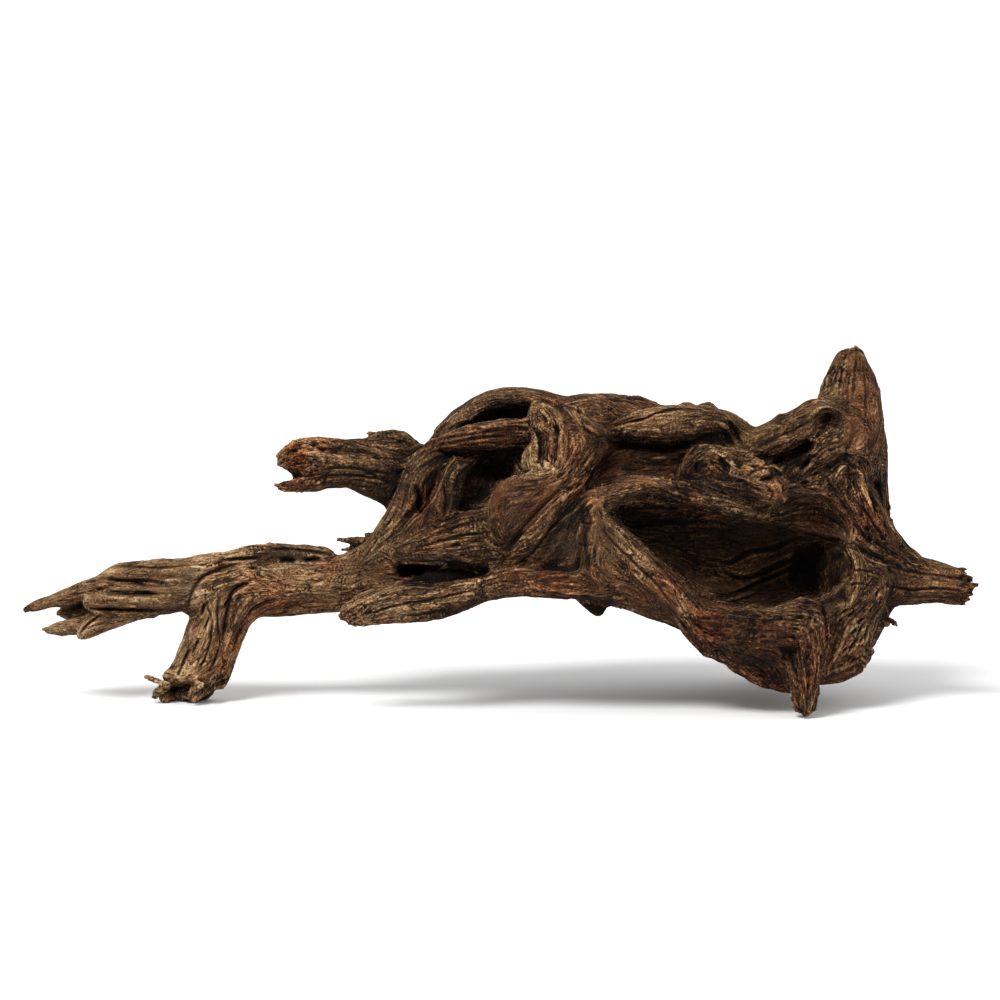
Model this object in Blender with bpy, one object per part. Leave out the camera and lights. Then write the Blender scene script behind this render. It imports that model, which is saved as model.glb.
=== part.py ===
"""Weathered driftwood: a hollow root crown with a horn, a right root, two foot roots and a long
forked branch.

The wood is drawn in millimetres as it is seen from the front: x runs along the wood, y is the
depth away from the front and z is the height. The drawing is then tipped forward until the three
feet stand level, the feet are worn flat, and the one grown form is parted at its main forks.
"""

import math

import bmesh
import bpy
from mathutils import Matrix, Vector, noise

MM = 0.001
TIP_FORWARD = math.radians(8.0)  # how far the drawing leans back from the way the wood stands
FOOT_WEAR = 2.0  # height worn off the lowest foot, which leaves the flats the wood stands on
FORK_GAP = 0.3  # gap left where the form is parted at a fork
TRIANGLES = 8500  # triangles of the whole form before it is parted

CORE_VOXEL = 2.4
FORM_VOXEL = 1.5
SMOOTHING = 3

STATION_STEP = 4.0  # length between rings along a limb
RING_STEP = 3.5  # length between points round a ring
FEWEST_RING_POINTS = 14
CAP_HEIGHT = 0.5  # height of a limb's end cone, as a share of its radius
FLUTE_WIDTH = 10.0  # width of the grain ridges that run along a limb
FLUTE_LENGTH = 60.0
FLUTE_DEPTH = 3.0
FLUTE_SHARE = 0.2  # most of a thin limb's radius that a ridge takes
LIMB_SPACING = 7.3  # keeps one limb's ridges unlike the next limb's

# Each limb is a list of stations: x, y, z, half height across the limb, half depth.
CORE_LIMBS = {
    "heartwood": [
        (-54, 3, 99, 10, 12), (-45, 3, 100, 22, 21), (-30, 3, 104, 33, 29), (-10, 2, 107, 42, 36),
        (15, 2, 107, 46, 40), (50, 2, 106, 48, 44), (80, 2, 99, 47, 48), (108, 2, 92, 52, 51),
        (138, 2, 85, 60, 54), (163, 2, 84, 60, 48), (180, 4, 87, 47, 34), (189, 6, 89, 30, 20),
    ],
    "top hump": [
        (20, 0, 146, 8, 20), (40, -2, 150, 11, 28), (62, -2, 149, 11, 28), (85, 0, 146, 9, 24),
        (103, 2, 146, 8.5, 20), (117, 4, 142, 6.5, 16), (128, 4, 138, 4, 10),
    ],
    "horn base": [(148, -6, 104, 30, 32), (158, -6, 124, 26, 27), (168, -5, 142, 20, 20)],
    "heel": [
        (140, -20, 30, 14, 18), (156, -20, 28, 12, 18), (170, -20, 30, 11.5, 15),
        (180, -18, 34, 9, 11),
    ],
}

RIDGES = {
    "arch": [
        (-35, -6, 130, 4, 7), (-27, -8, 142, 5.5, 11), (-15, -10, 153, 6, 15),
        (0, -10, 159.5, 6.5, 18), (16, -10, 158.5, 6.5, 18), (29, -8, 153, 8, 18),
    ],
    "arch back": [
        (-26, 6, 131, 7, 10), (-10, 8, 146, 9, 12), (12, 8, 152, 9, 14), (30, 6, 150, 8, 14),
    ],
    "inner branch": [
        (-36, -16, 132, 3, 4), (-18, -27, 139.5, 5.5, 7), (0, -31, 141, 8, 9), (16, -29, 142, 7, 8),
    ],
    "gnarl": [
        (18, -30, 153, 6, 8), (25, -38, 147, 7, 8), (25, -42, 137, 7, 8), (17, -42, 127, 7, 7),
        (12, -40, 125, 3, 4),
    ],
    "lobed fold": [
        (42, -22, 149, 17, 15), (42, -36, 141, 16, 11), (37, -44, 130, 11, 9), (32, -48, 120, 10, 8),
        (22, -52, 112, 12, 7), (10, -55, 105, 15, 6), (3, -55, 96, 10, 5), (3, -53, 88, 3, 3),
    ],
    "fold panel": [
        (8, -38, 82, 8, 6), (20, -42, 88, 12, 7), (32, -43, 96, 13, 7), (44, -42, 106, 9, 7),
    ],
    "spindle": [
        (54, -36, 143, 3, 4), (72, -41, 146, 7, 8), (95, -41, 147, 8, 8), (110, -36, 147, 6, 8),
        (124, -24, 143.5, 3, 6),
    ],
    "upper rim": [
        (44, -44, 107, 6, 8), (58, -50, 112, 5, 9), (70, -52, 115, 5, 9), (88, -52, 111, 5, 9),
        (104, -50, 107, 6, 9), (122, -49, 103, 5, 8), (133, -44, 101, 3, 5),
    ],
    "knotted root": [
        (96, -38, 124, 12, 12), (110, -46, 121, 14, 13), (124, -53, 119, 12, 12),
        (134, -58, 114, 9, 9), (140, -61, 109, 4, 4),
    ],
    "throat post": [
        (48, -42, 110, 8, 8), (50, -51, 94, 9, 9), (52, -54, 78, 13, 10), (54, -50, 66, 13, 10),
    ],
    "lower rim": [
        (52, -53, 98, 5, 6), (64, -56, 82, 8, 7), (78, -53, 70, 8, 7), (90, -49, 57, 8, 8),
        (98, -43, 46, 9, 9), (108, -40, 36, 9, 10),
    ],
    "apron": [(50, -50, 70, 12, 8), (68, -46, 62, 10, 8), (86, -40, 54, 8, 8)],
    "red ridge": [
        (54, -50, 67, 10, 8), (30, -49, 66.5, 7.5, 8), (10, -47, 67.5, 7.5, 7),
        (-6, -42, 64, 6, 6), (-24, -36, 57, 4, 5),
    ],
    "lower flap": [
        (12, -36, 72, 8, 9), (-14, -42, 66, 10, 7), (-35, -44, 60, 12, 7), (-55, -42, 57, 11, 6),
        (-70, -41, 53, 9, 5), (-79, -40, 51, 5, 4.5),
    ],
    "upper flap": [
        (8, -40, 92, 14, 9), (-10, -43, 91, 15, 8), (-28, -42, 88, 12, 7), (-42, -38, 85, 8, 6),
        (-54, -32, 82, 5, 5),
    ],
    "left strand": [
        (-30, -16, 134, 7, 8), (-39, -21, 122, 8, 9), (-44, -22, 109, 8, 9), (-52, -16, 94, 8, 8),
        (-65, -8, 77, 7, 9),
    ],
    "inner strand": [
        (-10, -24, 130, 4, 6), (-20, -31, 123, 6, 8), (-25, -36, 112, 7, 7), (-31, -37, 102, 7, 7),
        (-42, -31, 93, 6, 6), (-56, -24, 84, 4, 6),
    ],
    "chin": [
        (102, -44, 46, 10, 9), (122, -48, 42, 12, 9), (142, -48, 42, 13, 9), (158, -40, 46, 12, 9),
    ],
    "keel": [
        (100, -38, 42, 9, 10), (116, -36, 33, 9, 13), (131, -32, 24, 9.5, 12),
        (146, -30, 22, 9, 10),
    ],
    "crown strand": [
        (112, -30, 132, 8, 9), (130, -35, 137, 9, 9), (146, -33, 143, 10, 10),
        (158, -26, 149, 10, 10), (167, -16, 152, 8, 9),
    ],
    "throat strand": [
        (136, -42, 120, 5, 5), (150, -41, 129, 6, 6), (165, -34, 136, 8, 6), (174, -24, 146, 8, 7),
    ],
    "right rim": [
        (170, -32, 124, 10, 9), (178, -32, 109, 8, 9), (186, -26, 96, 8, 9), (197, -16, 82, 8, 9),
        (211, -9, 71, 7, 9),
    ],
    "right wall": [
        (178, -20, 88, 9, 9), (183, -22, 70, 12, 10), (176, -26, 51, 11, 10), (169, -28, 36, 13, 11),
        (162, -26, 26, 8, 9),
    ],
    "chin web": [(116, -36, 38, 8, 8), (132, -38, 32, 9, 8), (148, -36, 30, 9, 8)],
    "back strand": [
        (188, 10, 146, 3.5, 6), (189, 11, 130, 5, 10), (190, 9, 112, 5, 12), (190, 4, 97, 7, 12),
        (199, 0, 80, 8, 10),
    ],
    "peg": [(44, -4, 62, 6, 7), (49, -4, 54, 4, 5), (50, -4, 50.5, 2.2, 3)],
    "barb": [(176, -12, 51, 6, 6), (188, -12, 48, 3, 3.5), (197, -12, 46.5, 1.6, 1.6)],
}

# Ridges of the side that faces away from the front.
BACK_RIDGES = {
    "back crest": [
        (-44, 18, 104, 8, 8), (-14, 30, 122, 9, 9), (24, 38, 134, 9, 9), (66, 40, 137, 9, 9),
        (104, 38, 134, 9, 9), (138, 32, 136, 9, 9), (163, 14, 144, 8, 8),
    ],
    "back ridge": [
        (-40, 21, 92, 8, 9), (0, 36, 104, 10, 11), (50, 45, 112, 11, 12), (98, 48, 114, 12, 12),
        (140, 44, 116, 11, 12), (170, 28, 110, 9, 12), (192, 10, 92, 8, 9),
    ],
    "belly ridge": [
        (-50, 14, 80, 7, 8), (-10, 32, 78, 9, 10), (40, 44, 78, 11, 12), (86, 52, 78, 12, 12),
        (116, 56, 64, 13, 12), (134, 60, 44, 11, 11),
    ],
    "low ridge": [
        (-30, 16, 74, 6, 8), (10, 28, 68, 6, 9), (54, 36, 66, 8, 10), (96, 42, 54, 10, 11),
        (130, 44, 42, 10, 11), (158, 30, 38, 9, 10),
    ],
    "back knot": [(110, 44, 96, 13, 12), (116, 56, 97, 11, 11), (119, 62, 98, 8, 8)],
    "right ridge": [
        (132, 50, 84, 10, 10), (160, 42, 78, 10, 11), (184, 20, 74, 9, 10), (206, 2, 70, 7, 8),
    ],
}

BRANCHES = {
    "stub": [
        (-44, 4, 118, 19, 18), (-60, 0, 122, 16, 15), (-75, -4, 126, 12.5, 13),
        (-90, -7, 127, 12.5, 13), (-101, -9, 128, 12, 12), (-108, -10, 130, 8.5, 10),
        (-110, -10, 131, 5, 6),
    ],
    "stub lip": [
        (-90, -12, 117.5, 4.5, 8), (-103, -13, 116.5, 3.2, 5), (-110, -14, 116, 2, 3),
    ],
    "nub": [(-66, 2, 138, 2, 5), (-60, 2, 139, 4, 6), (-50, 2, 139, 4, 7), (-43, 2, 134, 4, 6)],
    "stub web": [(-42, 2, 118, 14, 10), (-45, 2, 106, 10, 10), (-50, 2, 94, 10, 11)],
    "long branch": [
        (-30, -6, 90, 20, 18), (-52, -3, 77, 16, 16), (-74, 0, 68, 13.5, 14), (-96, 2, 65.5, 13, 13),
        (-116, 2, 64.5, 13, 13), (-132, 2, 65, 12.5, 13), (-148, 1, 66, 11.5, 12),
    ],
    "top strip": [
        (-192, 2, 71, 3, 5), (-165, 1, 76, 3.5, 6), (-140, -1, 79, 3.5, 6), (-121, -3, 82, 4.5, 5),
        (-104, -2, 82.5, 4, 5), (-90, -1, 82, 3, 4), (-83, -1, 82, 2, 3),
    ],
    "splinter": [
        (-50, 10, 90, 5, 5), (-64, 12, 89, 4, 4), (-76, 13, 88.5, 3, 3), (-82, 13, 88.5, 1.6, 2),
    ],
    "leg": [
        (-121, 1, 67, 14, 13), (-136, 1, 56, 16, 14), (-143, 2, 40, 14.5, 13),
        (-148.5, 3, 26, 14, 12), (-154, 5, 16, 12.5, 11), (-157, 6, 12, 10, 9),
    ],
    "leg splinter": [
        (-153, 4, 26, 9, 9), (-162, 6, 17, 7, 7), (-168, 6, 10, 4, 4.5), (-170, 6, 8, 2.5, 3),
    ],
    "leg heel": [(-146, 4, 20, 8, 9), (-150, 6, 12, 7, 8), (-152, 6, 9.5, 5, 6)],
    "thin splinter": [(-158, 0, 21, 4, 4), (-168, 0, 21, 2.5, 2.5), (-175, 0, 20, 1.5, 1.6)],
    "upper slab": [
        (-140, 3, 70, 9, 11), (-160, 3, 71, 8.5, 11), (-180, 4, 70.5, 8, 10), (-194, 4, 69, 6.5, 8),
        (-201, 4, 68, 3, 4),
    ],
    "lower slab": [
        (-138, -3, 61, 8, 9), (-160, -6, 60, 7, 8), (-180, -7, 59, 6, 7), (-200, -8, 58, 5.5, 6),
        (-208, -8, 58, 3.5, 4),
    ],
    "long finger": [
        (-186, 4, 67, 6.5, 7), (-202, 4, 64, 6, 6), (-216, 3, 59.5, 5.2, 5.5),
        (-229, 3, 55.5, 3.6, 4), (-237, 3, 53.5, 2, 2.4),
    ],
    "dark finger": [
        (-170, 9, 55, 5, 6), (-196, 11, 53.5, 4, 5), (-214, 11, 52, 4, 4.5), (-221, 11, 52, 2, 2.5),
    ],
    "low finger": [
        (-165, 4, 57, 4, 6), (-188, 3, 52.5, 5, 6), (-208, 1, 46.5, 5, 5.5), (-221, 0, 44, 3.6, 4),
        (-228, 0, 43, 1.8, 2.2),
    ],
    "front finger": [
        (-158, -1, 57, 4, 6), (-178, -4, 54, 5, 6), (-196, -7, 48, 5.2, 5), (-207, -8, 42, 4, 4),
        (-211, -9, 39, 2.2, 2.5),
    ],
    "horn": [
        (167, -8, 124, 22, 21), (172, -6, 143, 19.5, 18), (174.5, -3, 158, 15.5, 15),
        (175.5, -1, 170, 12.5, 12), (176.5, 0, 180, 8.5, 8), (177, 0, 184, 5, 5),
    ],
    "right root": [
        (168, -6, 74, 20, 21), (188, -8, 71, 16, 16), (203, -8, 68.5, 12.5, 13),
        (218, -8, 67, 10.5, 10), (230, -8, 65.5, 9, 8), (235, -8, 64.5, 7, 6.5),
    ],
    "upper prong": [(222, -10, 69.5, 5, 5), (232, -11, 70.5, 3.8, 4), (237, -11, 70, 2, 2.5)],
    "middle prong": [(226, -6, 65, 5, 5), (234, -6, 65, 3.4, 4), (238, -6, 64, 2, 2.4)],
    "lower prong": [(222, -6, 60, 5, 5), (231, -6, 58, 4.4, 4), (237, -6, 57.5, 2.6, 3)],
    "spike root": [
        (150, -38, 54, 15, 13), (151, -44, 36, 12, 12), (151, -46, 24, 9, 10),
        (151, -46, 14, 7.2, 8.5), (151.5, -46, 8.5, 5, 7), (151.5, -46, 3.5, 3.4, 6),
        (151.5, -46, 0, 2.8, 5),
    ],
    "back root": [
        (126, 46, 66, 15, 14), (135, 56, 48, 12.5, 12), (140, 62, 34, 10, 10),
        (141, 65, 24, 8.5, 9), (141, 65, 17.5, 8, 8.5),
    ],
}

# The big hollow opens to the front, and three smaller ones lie round it.
HOLLOWS = {
    "root hollow": [
        (53, -52, 105, 2, 10), (62, -50, 98, 7, 18), (76, -48, 92, 13, 24), (92, -46, 85, 19, 30),
        (110, -42, 80, 24, 36), (130, -38, 77, 24, 40), (150, -34, 76, 20, 40),
        (165, -30, 75, 15, 36), (174, -30, 75, 8, 24),
    ],
    "throat hollow": [
        (128, -44, 92, 4, 18), (142, -44, 99, 9, 24), (158, -42, 100, 10, 22), (170, -40, 90, 6, 14),
    ],
    "side hollow": [
        (42, -56, 119, 6, 20), (60, -60, 127, 11, 28), (80, -60, 127, 11, 28), (98, -58, 129, 7, 24),
        (106, -54, 131, 3, 14),
    ],
    "fold hollow": [
        (12, -62, 82, 4, 14), (28, -66, 90, 9, 18), (40, -64, 99, 8, 18), (45, -60, 108, 4, 12),
    ],
    "deep eye": [
        (-32, -34, 132, 2, 10), (-16, -38, 128, 6, 20), (0, -40, 124, 9, 28), (8, -42, 124, 9, 28),
        (13, -40, 122, 4, 18),
    ],
    "eye throat": [(-4, -42, 120, 6, 20), (-8, -46, 111, 4.5, 16), (-10, -46, 104, 2, 10)],
    "arch slot": [
        (-15, -30, 146.5, 2.5, 14), (-5, -32, 150, 4.5, 22), (6, -32, 151, 4.5, 24),
        (12, -32, 151, 3, 18),
    ],
    "flap slot": [
        (-54, -46, 76, 2, 12), (-36, -48, 75, 4, 20), (-14, -48, 73, 4.5, 22), (-4, -46, 73, 2, 14),
    ],
    "back hollow": [
        (8, 62, 92, 3, 16), (44, 66, 95, 8, 26), (82, 70, 96, 7, 24), (100, 70, 98, 3, 16),
    ],
}

SMALL_HOLLOWS = {
    "knot hole": [(101, -68, 125, 3, 3), (101, -58, 125, 3.5, 3.5), (101, -50, 125, 2, 2.5)],
    "crown slot": [(130, -50, 124, 2, 10), (144, -52, 131, 3.5, 13), (157, -46, 137, 2, 10)],
    "horn hole": [(161, -44, 147, 4, 6), (162, -34, 148, 5, 6), (162, -26, 148, 3, 5)],
    "stub notch": [(-118, -14, 120, 2.5, 14), (-106, -14, 121, 3, 11), (-97, -14, 121.5, 1, 5)],
    "strip slot": [(-143, -12, 76.5, 1.2, 8), (-132, -13, 77, 2, 9), (-119, -13, 78, 1.6, 8)],
}

# Each fork: a point on the parting plane, the way the limb grows from it, and the disc's radius.
FORKS = {
    "branch_tip": ((-158, 0, 64), (-1, 0, 0.15), 20),
    "front_leg": ((-139, 2, 50), (0, 0, -1), 22),
    "long_branch": ((-62, -2, 76), (-1, 0, -0.42), 28),
    "upper_stub": ((-60, 1, 123), (-1, 0, 0.2), 24),
    "horn": ((173, -5, 154), (0.4, 0, 1), 36),
    "right_root": ((203, -7, 69), (1, 0, -0.08), 27),
}
REMAINDER = "root_crown"
PROBE_REACH = 10.0  # how far past its parting plane a limb is looked for

# Colour of the dry wood on each node, linear RGB: grey tan on the long branch, redder at the crown.
WOOD_COLOURS = {
    "branch_tip": (0.20, 0.125, 0.070),
    "front_leg": (0.20, 0.125, 0.070),
    "long_branch": (0.18, 0.105, 0.057),
    "upper_stub": (0.15, 0.088, 0.050),
    "root_crown": (0.095, 0.053, 0.033),
    "horn": (0.125, 0.072, 0.043),
    "right_root": (0.105, 0.062, 0.042),
}
ROUGHNESS = 0.82
SHARP_ANGLE = math.radians(50)


def clear_scene():
    for obj in list(bpy.data.objects):
        bpy.data.objects.remove(obj)


def object_of(name, bm):
    """A new object that holds one shape."""
    mesh = bpy.data.meshes.new(name)
    bm.to_mesh(mesh)
    bm.free()
    obj = bpy.data.objects.new(name, mesh)
    bpy.context.scene.collection.objects.link(obj)
    return obj


def bounds(obj):
    points = [vert.co for vert in obj.data.vertices]
    low = Vector(min(point[i] for point in points) for i in range(3))
    high = Vector(max(point[i] for point in points) for i in range(3))
    return low, high


def between(before, start, end, after, t):
    """One number of a smooth curve from start (t = 0) to end (t = 1)."""
    slope = end - before
    sag = 2 * before - 5 * start + 4 * end - after
    turn = 3 * start - before - 3 * end + after
    return 0.5 * (2 * start + slope * t + sag * t**2 + turn * t**3)


def smooth_stations(stations):
    """Stations every STATION_STEP along a smooth curve through the drawn ones."""
    rows = [stations[0], *stations, stations[-1]]
    found = []
    for four in zip(rows, rows[1:], rows[2:], rows[3:]):
        steps = max(2, round(math.dist(four[1][:3], four[2][:3]) / STATION_STEP))
        for step in range(steps):
            found.append([between(*values, step / steps) for values in zip(*four)])
    found.append(list(stations[-1]))
    return found


def flute(angle, along, radius, seed):
    """Height of the grain ridges at this place on a limb, as a share of its radius."""
    around = radius / FLUTE_WIDTH
    apart = LIMB_SPACING * seed
    place = Vector((math.cos(angle) * around, math.sin(angle) * around, along / FLUTE_LENGTH + apart))
    return min(FLUTE_DEPTH / radius, FLUTE_SHARE) * noise.noise(place)


def add_limb(bm, stations, seed, fluted):
    """Skins one limb with rings of points, closed at both ends by a low cone."""
    rows = smooth_stations(stations)
    widest = max(max(row[3:]) for row in rows)
    ring_points = max(FEWEST_RING_POINTS, round(2 * math.pi * widest / RING_STEP))
    turns = [2 * math.pi * k / ring_points for k in range(ring_points)]
    rings = []
    along = 0.0
    for i, (x, y, z, high, deep) in enumerate(rows):
        centre = Vector((x, y, z))
        ahead = Vector(rows[min(i + 1, len(rows) - 1)][:3])
        behind = Vector(rows[max(i - 1, 0)][:3])
        tangent = (ahead - behind).normalized()
        depth = Vector((0, 1, 0))
        depth = (depth - tangent * depth.dot(tangent)).normalized()
        across = tangent.cross(depth)
        radius = min(high, deep)
        ring = []
        for angle in turns:
            ridge = 1 + (flute(angle, along, radius, seed) if fluted else 0.0)
            offset = across * (math.cos(angle) * high) + depth * (math.sin(angle) * deep)
            ring.append(bm.verts.new(centre + offset * ridge))
        rings.append((ring, centre, tangent * radius))
        along += (ahead - centre).length
    for (ring, *_), (following, *_) in zip(rings, rings[1:]):
        for k in range(ring_points):
            after = (k + 1) % ring_points
            bm.faces.new((ring[k], ring[after], following[after], following[k]))
    for (ring, centre, reach), height in ((rings[0], -CAP_HEIGHT), (rings[-1], CAP_HEIGHT)):
        tip = bm.verts.new(centre + reach * height)
        for k in range(ring_points):
            bm.faces.new((ring[k], ring[(k + 1) % ring_points], tip))


def limbs_object(name, *groups, fluted=True):
    """One object that holds every limb of its groups, not yet merged."""
    bm = bmesh.new()
    limbs = [stations for group in groups for stations in group.values()]
    for seed, stations in enumerate(limbs):
        add_limb(bm, stations, seed, fluted)
    bmesh.ops.recalc_face_normals(bm, faces=bm.faces)
    return object_of(name, bm)


def apply_modifiers(obj):
    """Makes a piece's pending changes part of its shape."""
    graph = bpy.context.evaluated_depsgraph_get()
    mesh = bpy.data.meshes.new_from_object(obj.evaluated_get(graph), depsgraph=graph)
    obj.modifiers.clear()
    obj.data = mesh
    return obj


def merge(obj, voxel):
    """Turns overlapping limbs into one skin."""
    remesh = obj.modifiers.new("merge", "REMESH")
    remesh.mode = "VOXEL"
    remesh.voxel_size = voxel
    return apply_modifiers(obj)


def cut(obj, cutter):
    """Takes the cutter's volume out of an object and removes the cutter."""
    boolean = obj.modifiers.new("cut", "BOOLEAN")
    boolean.operation = "DIFFERENCE"
    boolean.object = cutter
    boolean.solver = "EXACT"
    apply_modifiers(obj)
    bpy.data.objects.remove(cutter)


def add_meshes(obj, other):
    """Moves another object's mesh into this one and removes the other."""
    bm = bmesh.new()
    bm.from_mesh(obj.data)
    bm.from_mesh(other.data)
    bm.to_mesh(obj.data)
    bm.free()
    bpy.data.objects.remove(other)


def islands_of(bm):
    """The vertices of each connected piece, the largest piece first."""
    left = set(bm.verts)
    islands = []
    for start in bm.verts:
        if start not in left:
            continue
        left.remove(start)
        island = [start]
        for vert in island:
            near = [edge.other_vert(vert) for edge in vert.link_edges]
            fresh = [other for other in near if other in left]
            left.difference_update(fresh)
            island.extend(fresh)
        islands.append(island)
    return sorted(islands, key=len, reverse=True)


def drop_crumbs(obj):
    """Keeps only the largest connected piece."""
    bm = bmesh.new()
    bm.from_mesh(obj.data)
    crumbs = [vert for island in islands_of(bm)[1:] for vert in island]
    bmesh.ops.delete(bm, geom=crumbs, context="VERTS")
    bm.to_mesh(obj.data)
    bm.free()


def grown_form():
    """The whole driftwood as one closed skin, in the drawing's millimetres."""
    form = merge(limbs_object("form", CORE_LIMBS), CORE_VOXEL)
    cut(form, merge(limbs_object("hollows", HOLLOWS, fluted=False), CORE_VOXEL))
    add_meshes(form, limbs_object("limbs", RIDGES, BACK_RIDGES, BRANCHES))
    merge(form, FORM_VOXEL)
    cut(form, merge(limbs_object("small hollows", SMALL_HOLLOWS, fluted=False), FORM_VOXEL / 2))
    merge(form, FORM_VOXEL)
    drop_crumbs(form)
    worn = form.modifiers.new("worn", "SMOOTH")
    worn.factor = 0.5
    worn.iterations = SMOOTHING
    return apply_modifiers(form)


def facet(form):
    """Brings the skin down to the number of triangles that the solid needs."""
    fewer = form.modifiers.new("fewer", "DECIMATE")
    fewer.ratio = TRIANGLES / sum(len(face.vertices) - 2 for face in form.data.polygons)
    apply_modifiers(form)


def wear_feet(form):
    """Planes the feet off level, a little above the lowest one."""
    low, high = bounds(form)
    side = 2 * max(high - low)
    middle = (low + high) / 2
    place = Vector((middle.x, middle.y, low.z + FOOT_WEAR - side / 2))
    ground = bmesh.new()
    bmesh.ops.create_cube(ground, size=side, matrix=Matrix.Translation(place))
    cut(form, object_of("ground", ground))


def stand_on_feet(form):
    """Tips the drawing forward onto its feet, with the middle of the base at the origin."""
    form.data.transform(Matrix.Rotation(-TIP_FORWARD, 4, "X"))
    wear_feet(form)
    low, high = bounds(form)
    shift = Vector((-(low.x + high.x) / 2, -(low.y + high.y) / 2, -low.z))
    form.data.transform(Matrix.Translation(shift))
    return shift


def fork_planes(shift):
    """The drawing's forks as they lie once the wood stands: centre, direction and radius."""
    turn = Matrix.Rotation(-TIP_FORWARD, 3, "X")
    planes = {}
    for name, (centre, way, radius) in FORKS.items():
        planes[name] = (turn @ Vector(centre) + shift, (turn @ Vector(way)).normalized(), radius)
    return planes


def part_at_forks(form, planes):
    """Takes a thin disc out at each fork, so that the limbs come free of each other."""
    for centre, way, radius in planes.values():
        place = Matrix.Translation(centre) @ way.to_track_quat("Z", "Y").to_matrix().to_4x4()
        size = {"radius1": radius, "radius2": radius, "depth": FORK_GAP, "segments": 24}
        disc = bmesh.new()
        bmesh.ops.create_cone(disc, cap_ends=True, matrix=place, **size)
        cut(form, object_of("disc", disc))


def name_pieces(form, planes):
    """One object for each connected piece, named after the limb that it holds."""
    bm = bmesh.new()
    bm.from_mesh(form.data)
    islands = [{vert.index: vert.co.copy() for vert in island} for island in islands_of(bm)]
    bm.free()
    owners = {REMAINDER: islands[0]}
    for name, (centre, way, _) in planes.items():
        probe = centre + way * PROBE_REACH
        owners[name] = min(islands, key=lambda island: min((p - probe).length for p in island.values()))
    for name, island in owners.items():
        piece = bmesh.new()
        piece.from_mesh(form.data)
        others = [vert for vert in piece.verts if vert.index not in island]
        bmesh.ops.delete(piece, geom=others, context="VERTS")
        bmesh.ops.triangulate(piece, faces=piece.faces)
        obj = object_of(name, piece)
        obj.data.transform(Matrix.Scale(MM, 4))
        finish(obj)
    bpy.data.objects.remove(form)


def finish(obj):
    """Weathered wood in the piece's own colour, smooth but for the flats and the fork faces."""
    material = bpy.data.materials.new(obj.name + "_wood")
    material.use_nodes = True
    shader = material.node_tree.nodes["Principled BSDF"]
    shader.inputs["Base Color"].default_value = (*WOOD_COLOURS[obj.name], 1.0)
    shader.inputs["Roughness"].default_value = ROUGHNESS
    shader.inputs["Metallic"].default_value = 0.0
    obj.data.materials.clear()
    obj.data.materials.append(material)
    obj.data.shade_smooth()
    obj.data.set_sharp_from_angle(angle=SHARP_ANGLE)


def main():
    clear_scene()
    form = grown_form()
    facet(form)
    shift = stand_on_feet(form)
    planes = fork_planes(shift)
    part_at_forks(form, planes)
    name_pieces(form, planes)


if __name__ == "__main__":
    main()
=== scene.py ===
import math

import bpy
import numpy as np
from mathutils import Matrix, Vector
from mathutils.bvhtree import BVHTree


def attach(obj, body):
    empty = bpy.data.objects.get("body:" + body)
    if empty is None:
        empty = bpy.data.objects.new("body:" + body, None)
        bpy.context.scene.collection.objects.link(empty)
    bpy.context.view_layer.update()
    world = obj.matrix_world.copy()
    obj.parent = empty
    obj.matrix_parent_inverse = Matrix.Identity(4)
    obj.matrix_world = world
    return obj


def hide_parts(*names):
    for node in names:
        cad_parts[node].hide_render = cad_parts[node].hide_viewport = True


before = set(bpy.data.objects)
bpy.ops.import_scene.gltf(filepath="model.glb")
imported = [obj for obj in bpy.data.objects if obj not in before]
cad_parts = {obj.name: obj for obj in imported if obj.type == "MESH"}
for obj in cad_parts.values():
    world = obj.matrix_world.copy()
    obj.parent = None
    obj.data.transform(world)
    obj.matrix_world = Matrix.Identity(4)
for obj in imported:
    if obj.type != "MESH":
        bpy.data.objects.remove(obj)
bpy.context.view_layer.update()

# The wood is drawn in millimetres as the camera sees it: x to the right, u up, d away.
# Lines and patches are given in the view's pixels, 1000 across and 2 to a millimetre.
view = {
    "lean": 8.0,  # degrees that the camera looks down
    "shift": (-0.689, -12.811, -6.768),  # where the drawing's origin lies in the world, mm
    "distance": 5000.0,
    "width": 500.0,  # width of the view at the wood, mm
    "centre": 108.5,  # height of the view's middle
    "middle": 500,  # pixels across of the drawing's origin
    "ground": 717,  # and pixels down
    "scale": 2,  # pixels to a millimetre
    "cell": 2,  # what hides what is told for cells of so many pixels
    "front": 0.15,  # how far a face turns to the camera to hide another
    "edge": (-0.25, 0.1),  # and to be drawn on
    "hidden": 3.5,  # what lies deeper than this behind the nearest point is hidden
    "fade": 2.0,
}
shift = np.array(view["shift"])
leanCos = math.cos(math.radians(view["lean"]))
leanSin = math.sin(math.radians(view["lean"]))
away = np.array([0, leanCos, -leanSin])  # the way the camera looks

# How the skin is made from the solids, in millimetres
skin = {
    "overlap": 0.5,  # closes the parting gaps
    "formVoxel": 1.5,
    "formSmoothing": 9,
    "fineVoxel": 0.74,
    "fineSmoothing": 2,
}


# Small helpers


def report(text):
    print("driftwood:", text, flush=True)


def toDrawing(points):
    moved = points - shift
    depth = moved[:, 1] * leanCos - moved[:, 2] * leanSin
    up = moved[:, 1] * leanSin + moved[:, 2] * leanCos
    return np.stack([moved[:, 0], depth, up], axis=1)


def turnedToWorld(ways):
    back = ways[..., 1] * leanCos + ways[..., 2] * leanSin
    up = ways[..., 2] * leanCos - ways[..., 1] * leanSin
    return np.stack([ways[..., 0], back, up], axis=-1)


def fromDrawing(places):
    return turnedToWorld(places) + shift


def toView(points):
    drawn = toDrawing(points)
    nearer = view["distance"] / (view["distance"] + drawn[:, 1])
    across = view["middle"] + view["scale"] * drawn[:, 0] * nearer
    up = view["centre"] + (drawn[:, 2] - view["centre"]) * nearer
    return across, view["ground"] - view["scale"] * up, drawn[:, 1]


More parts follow.
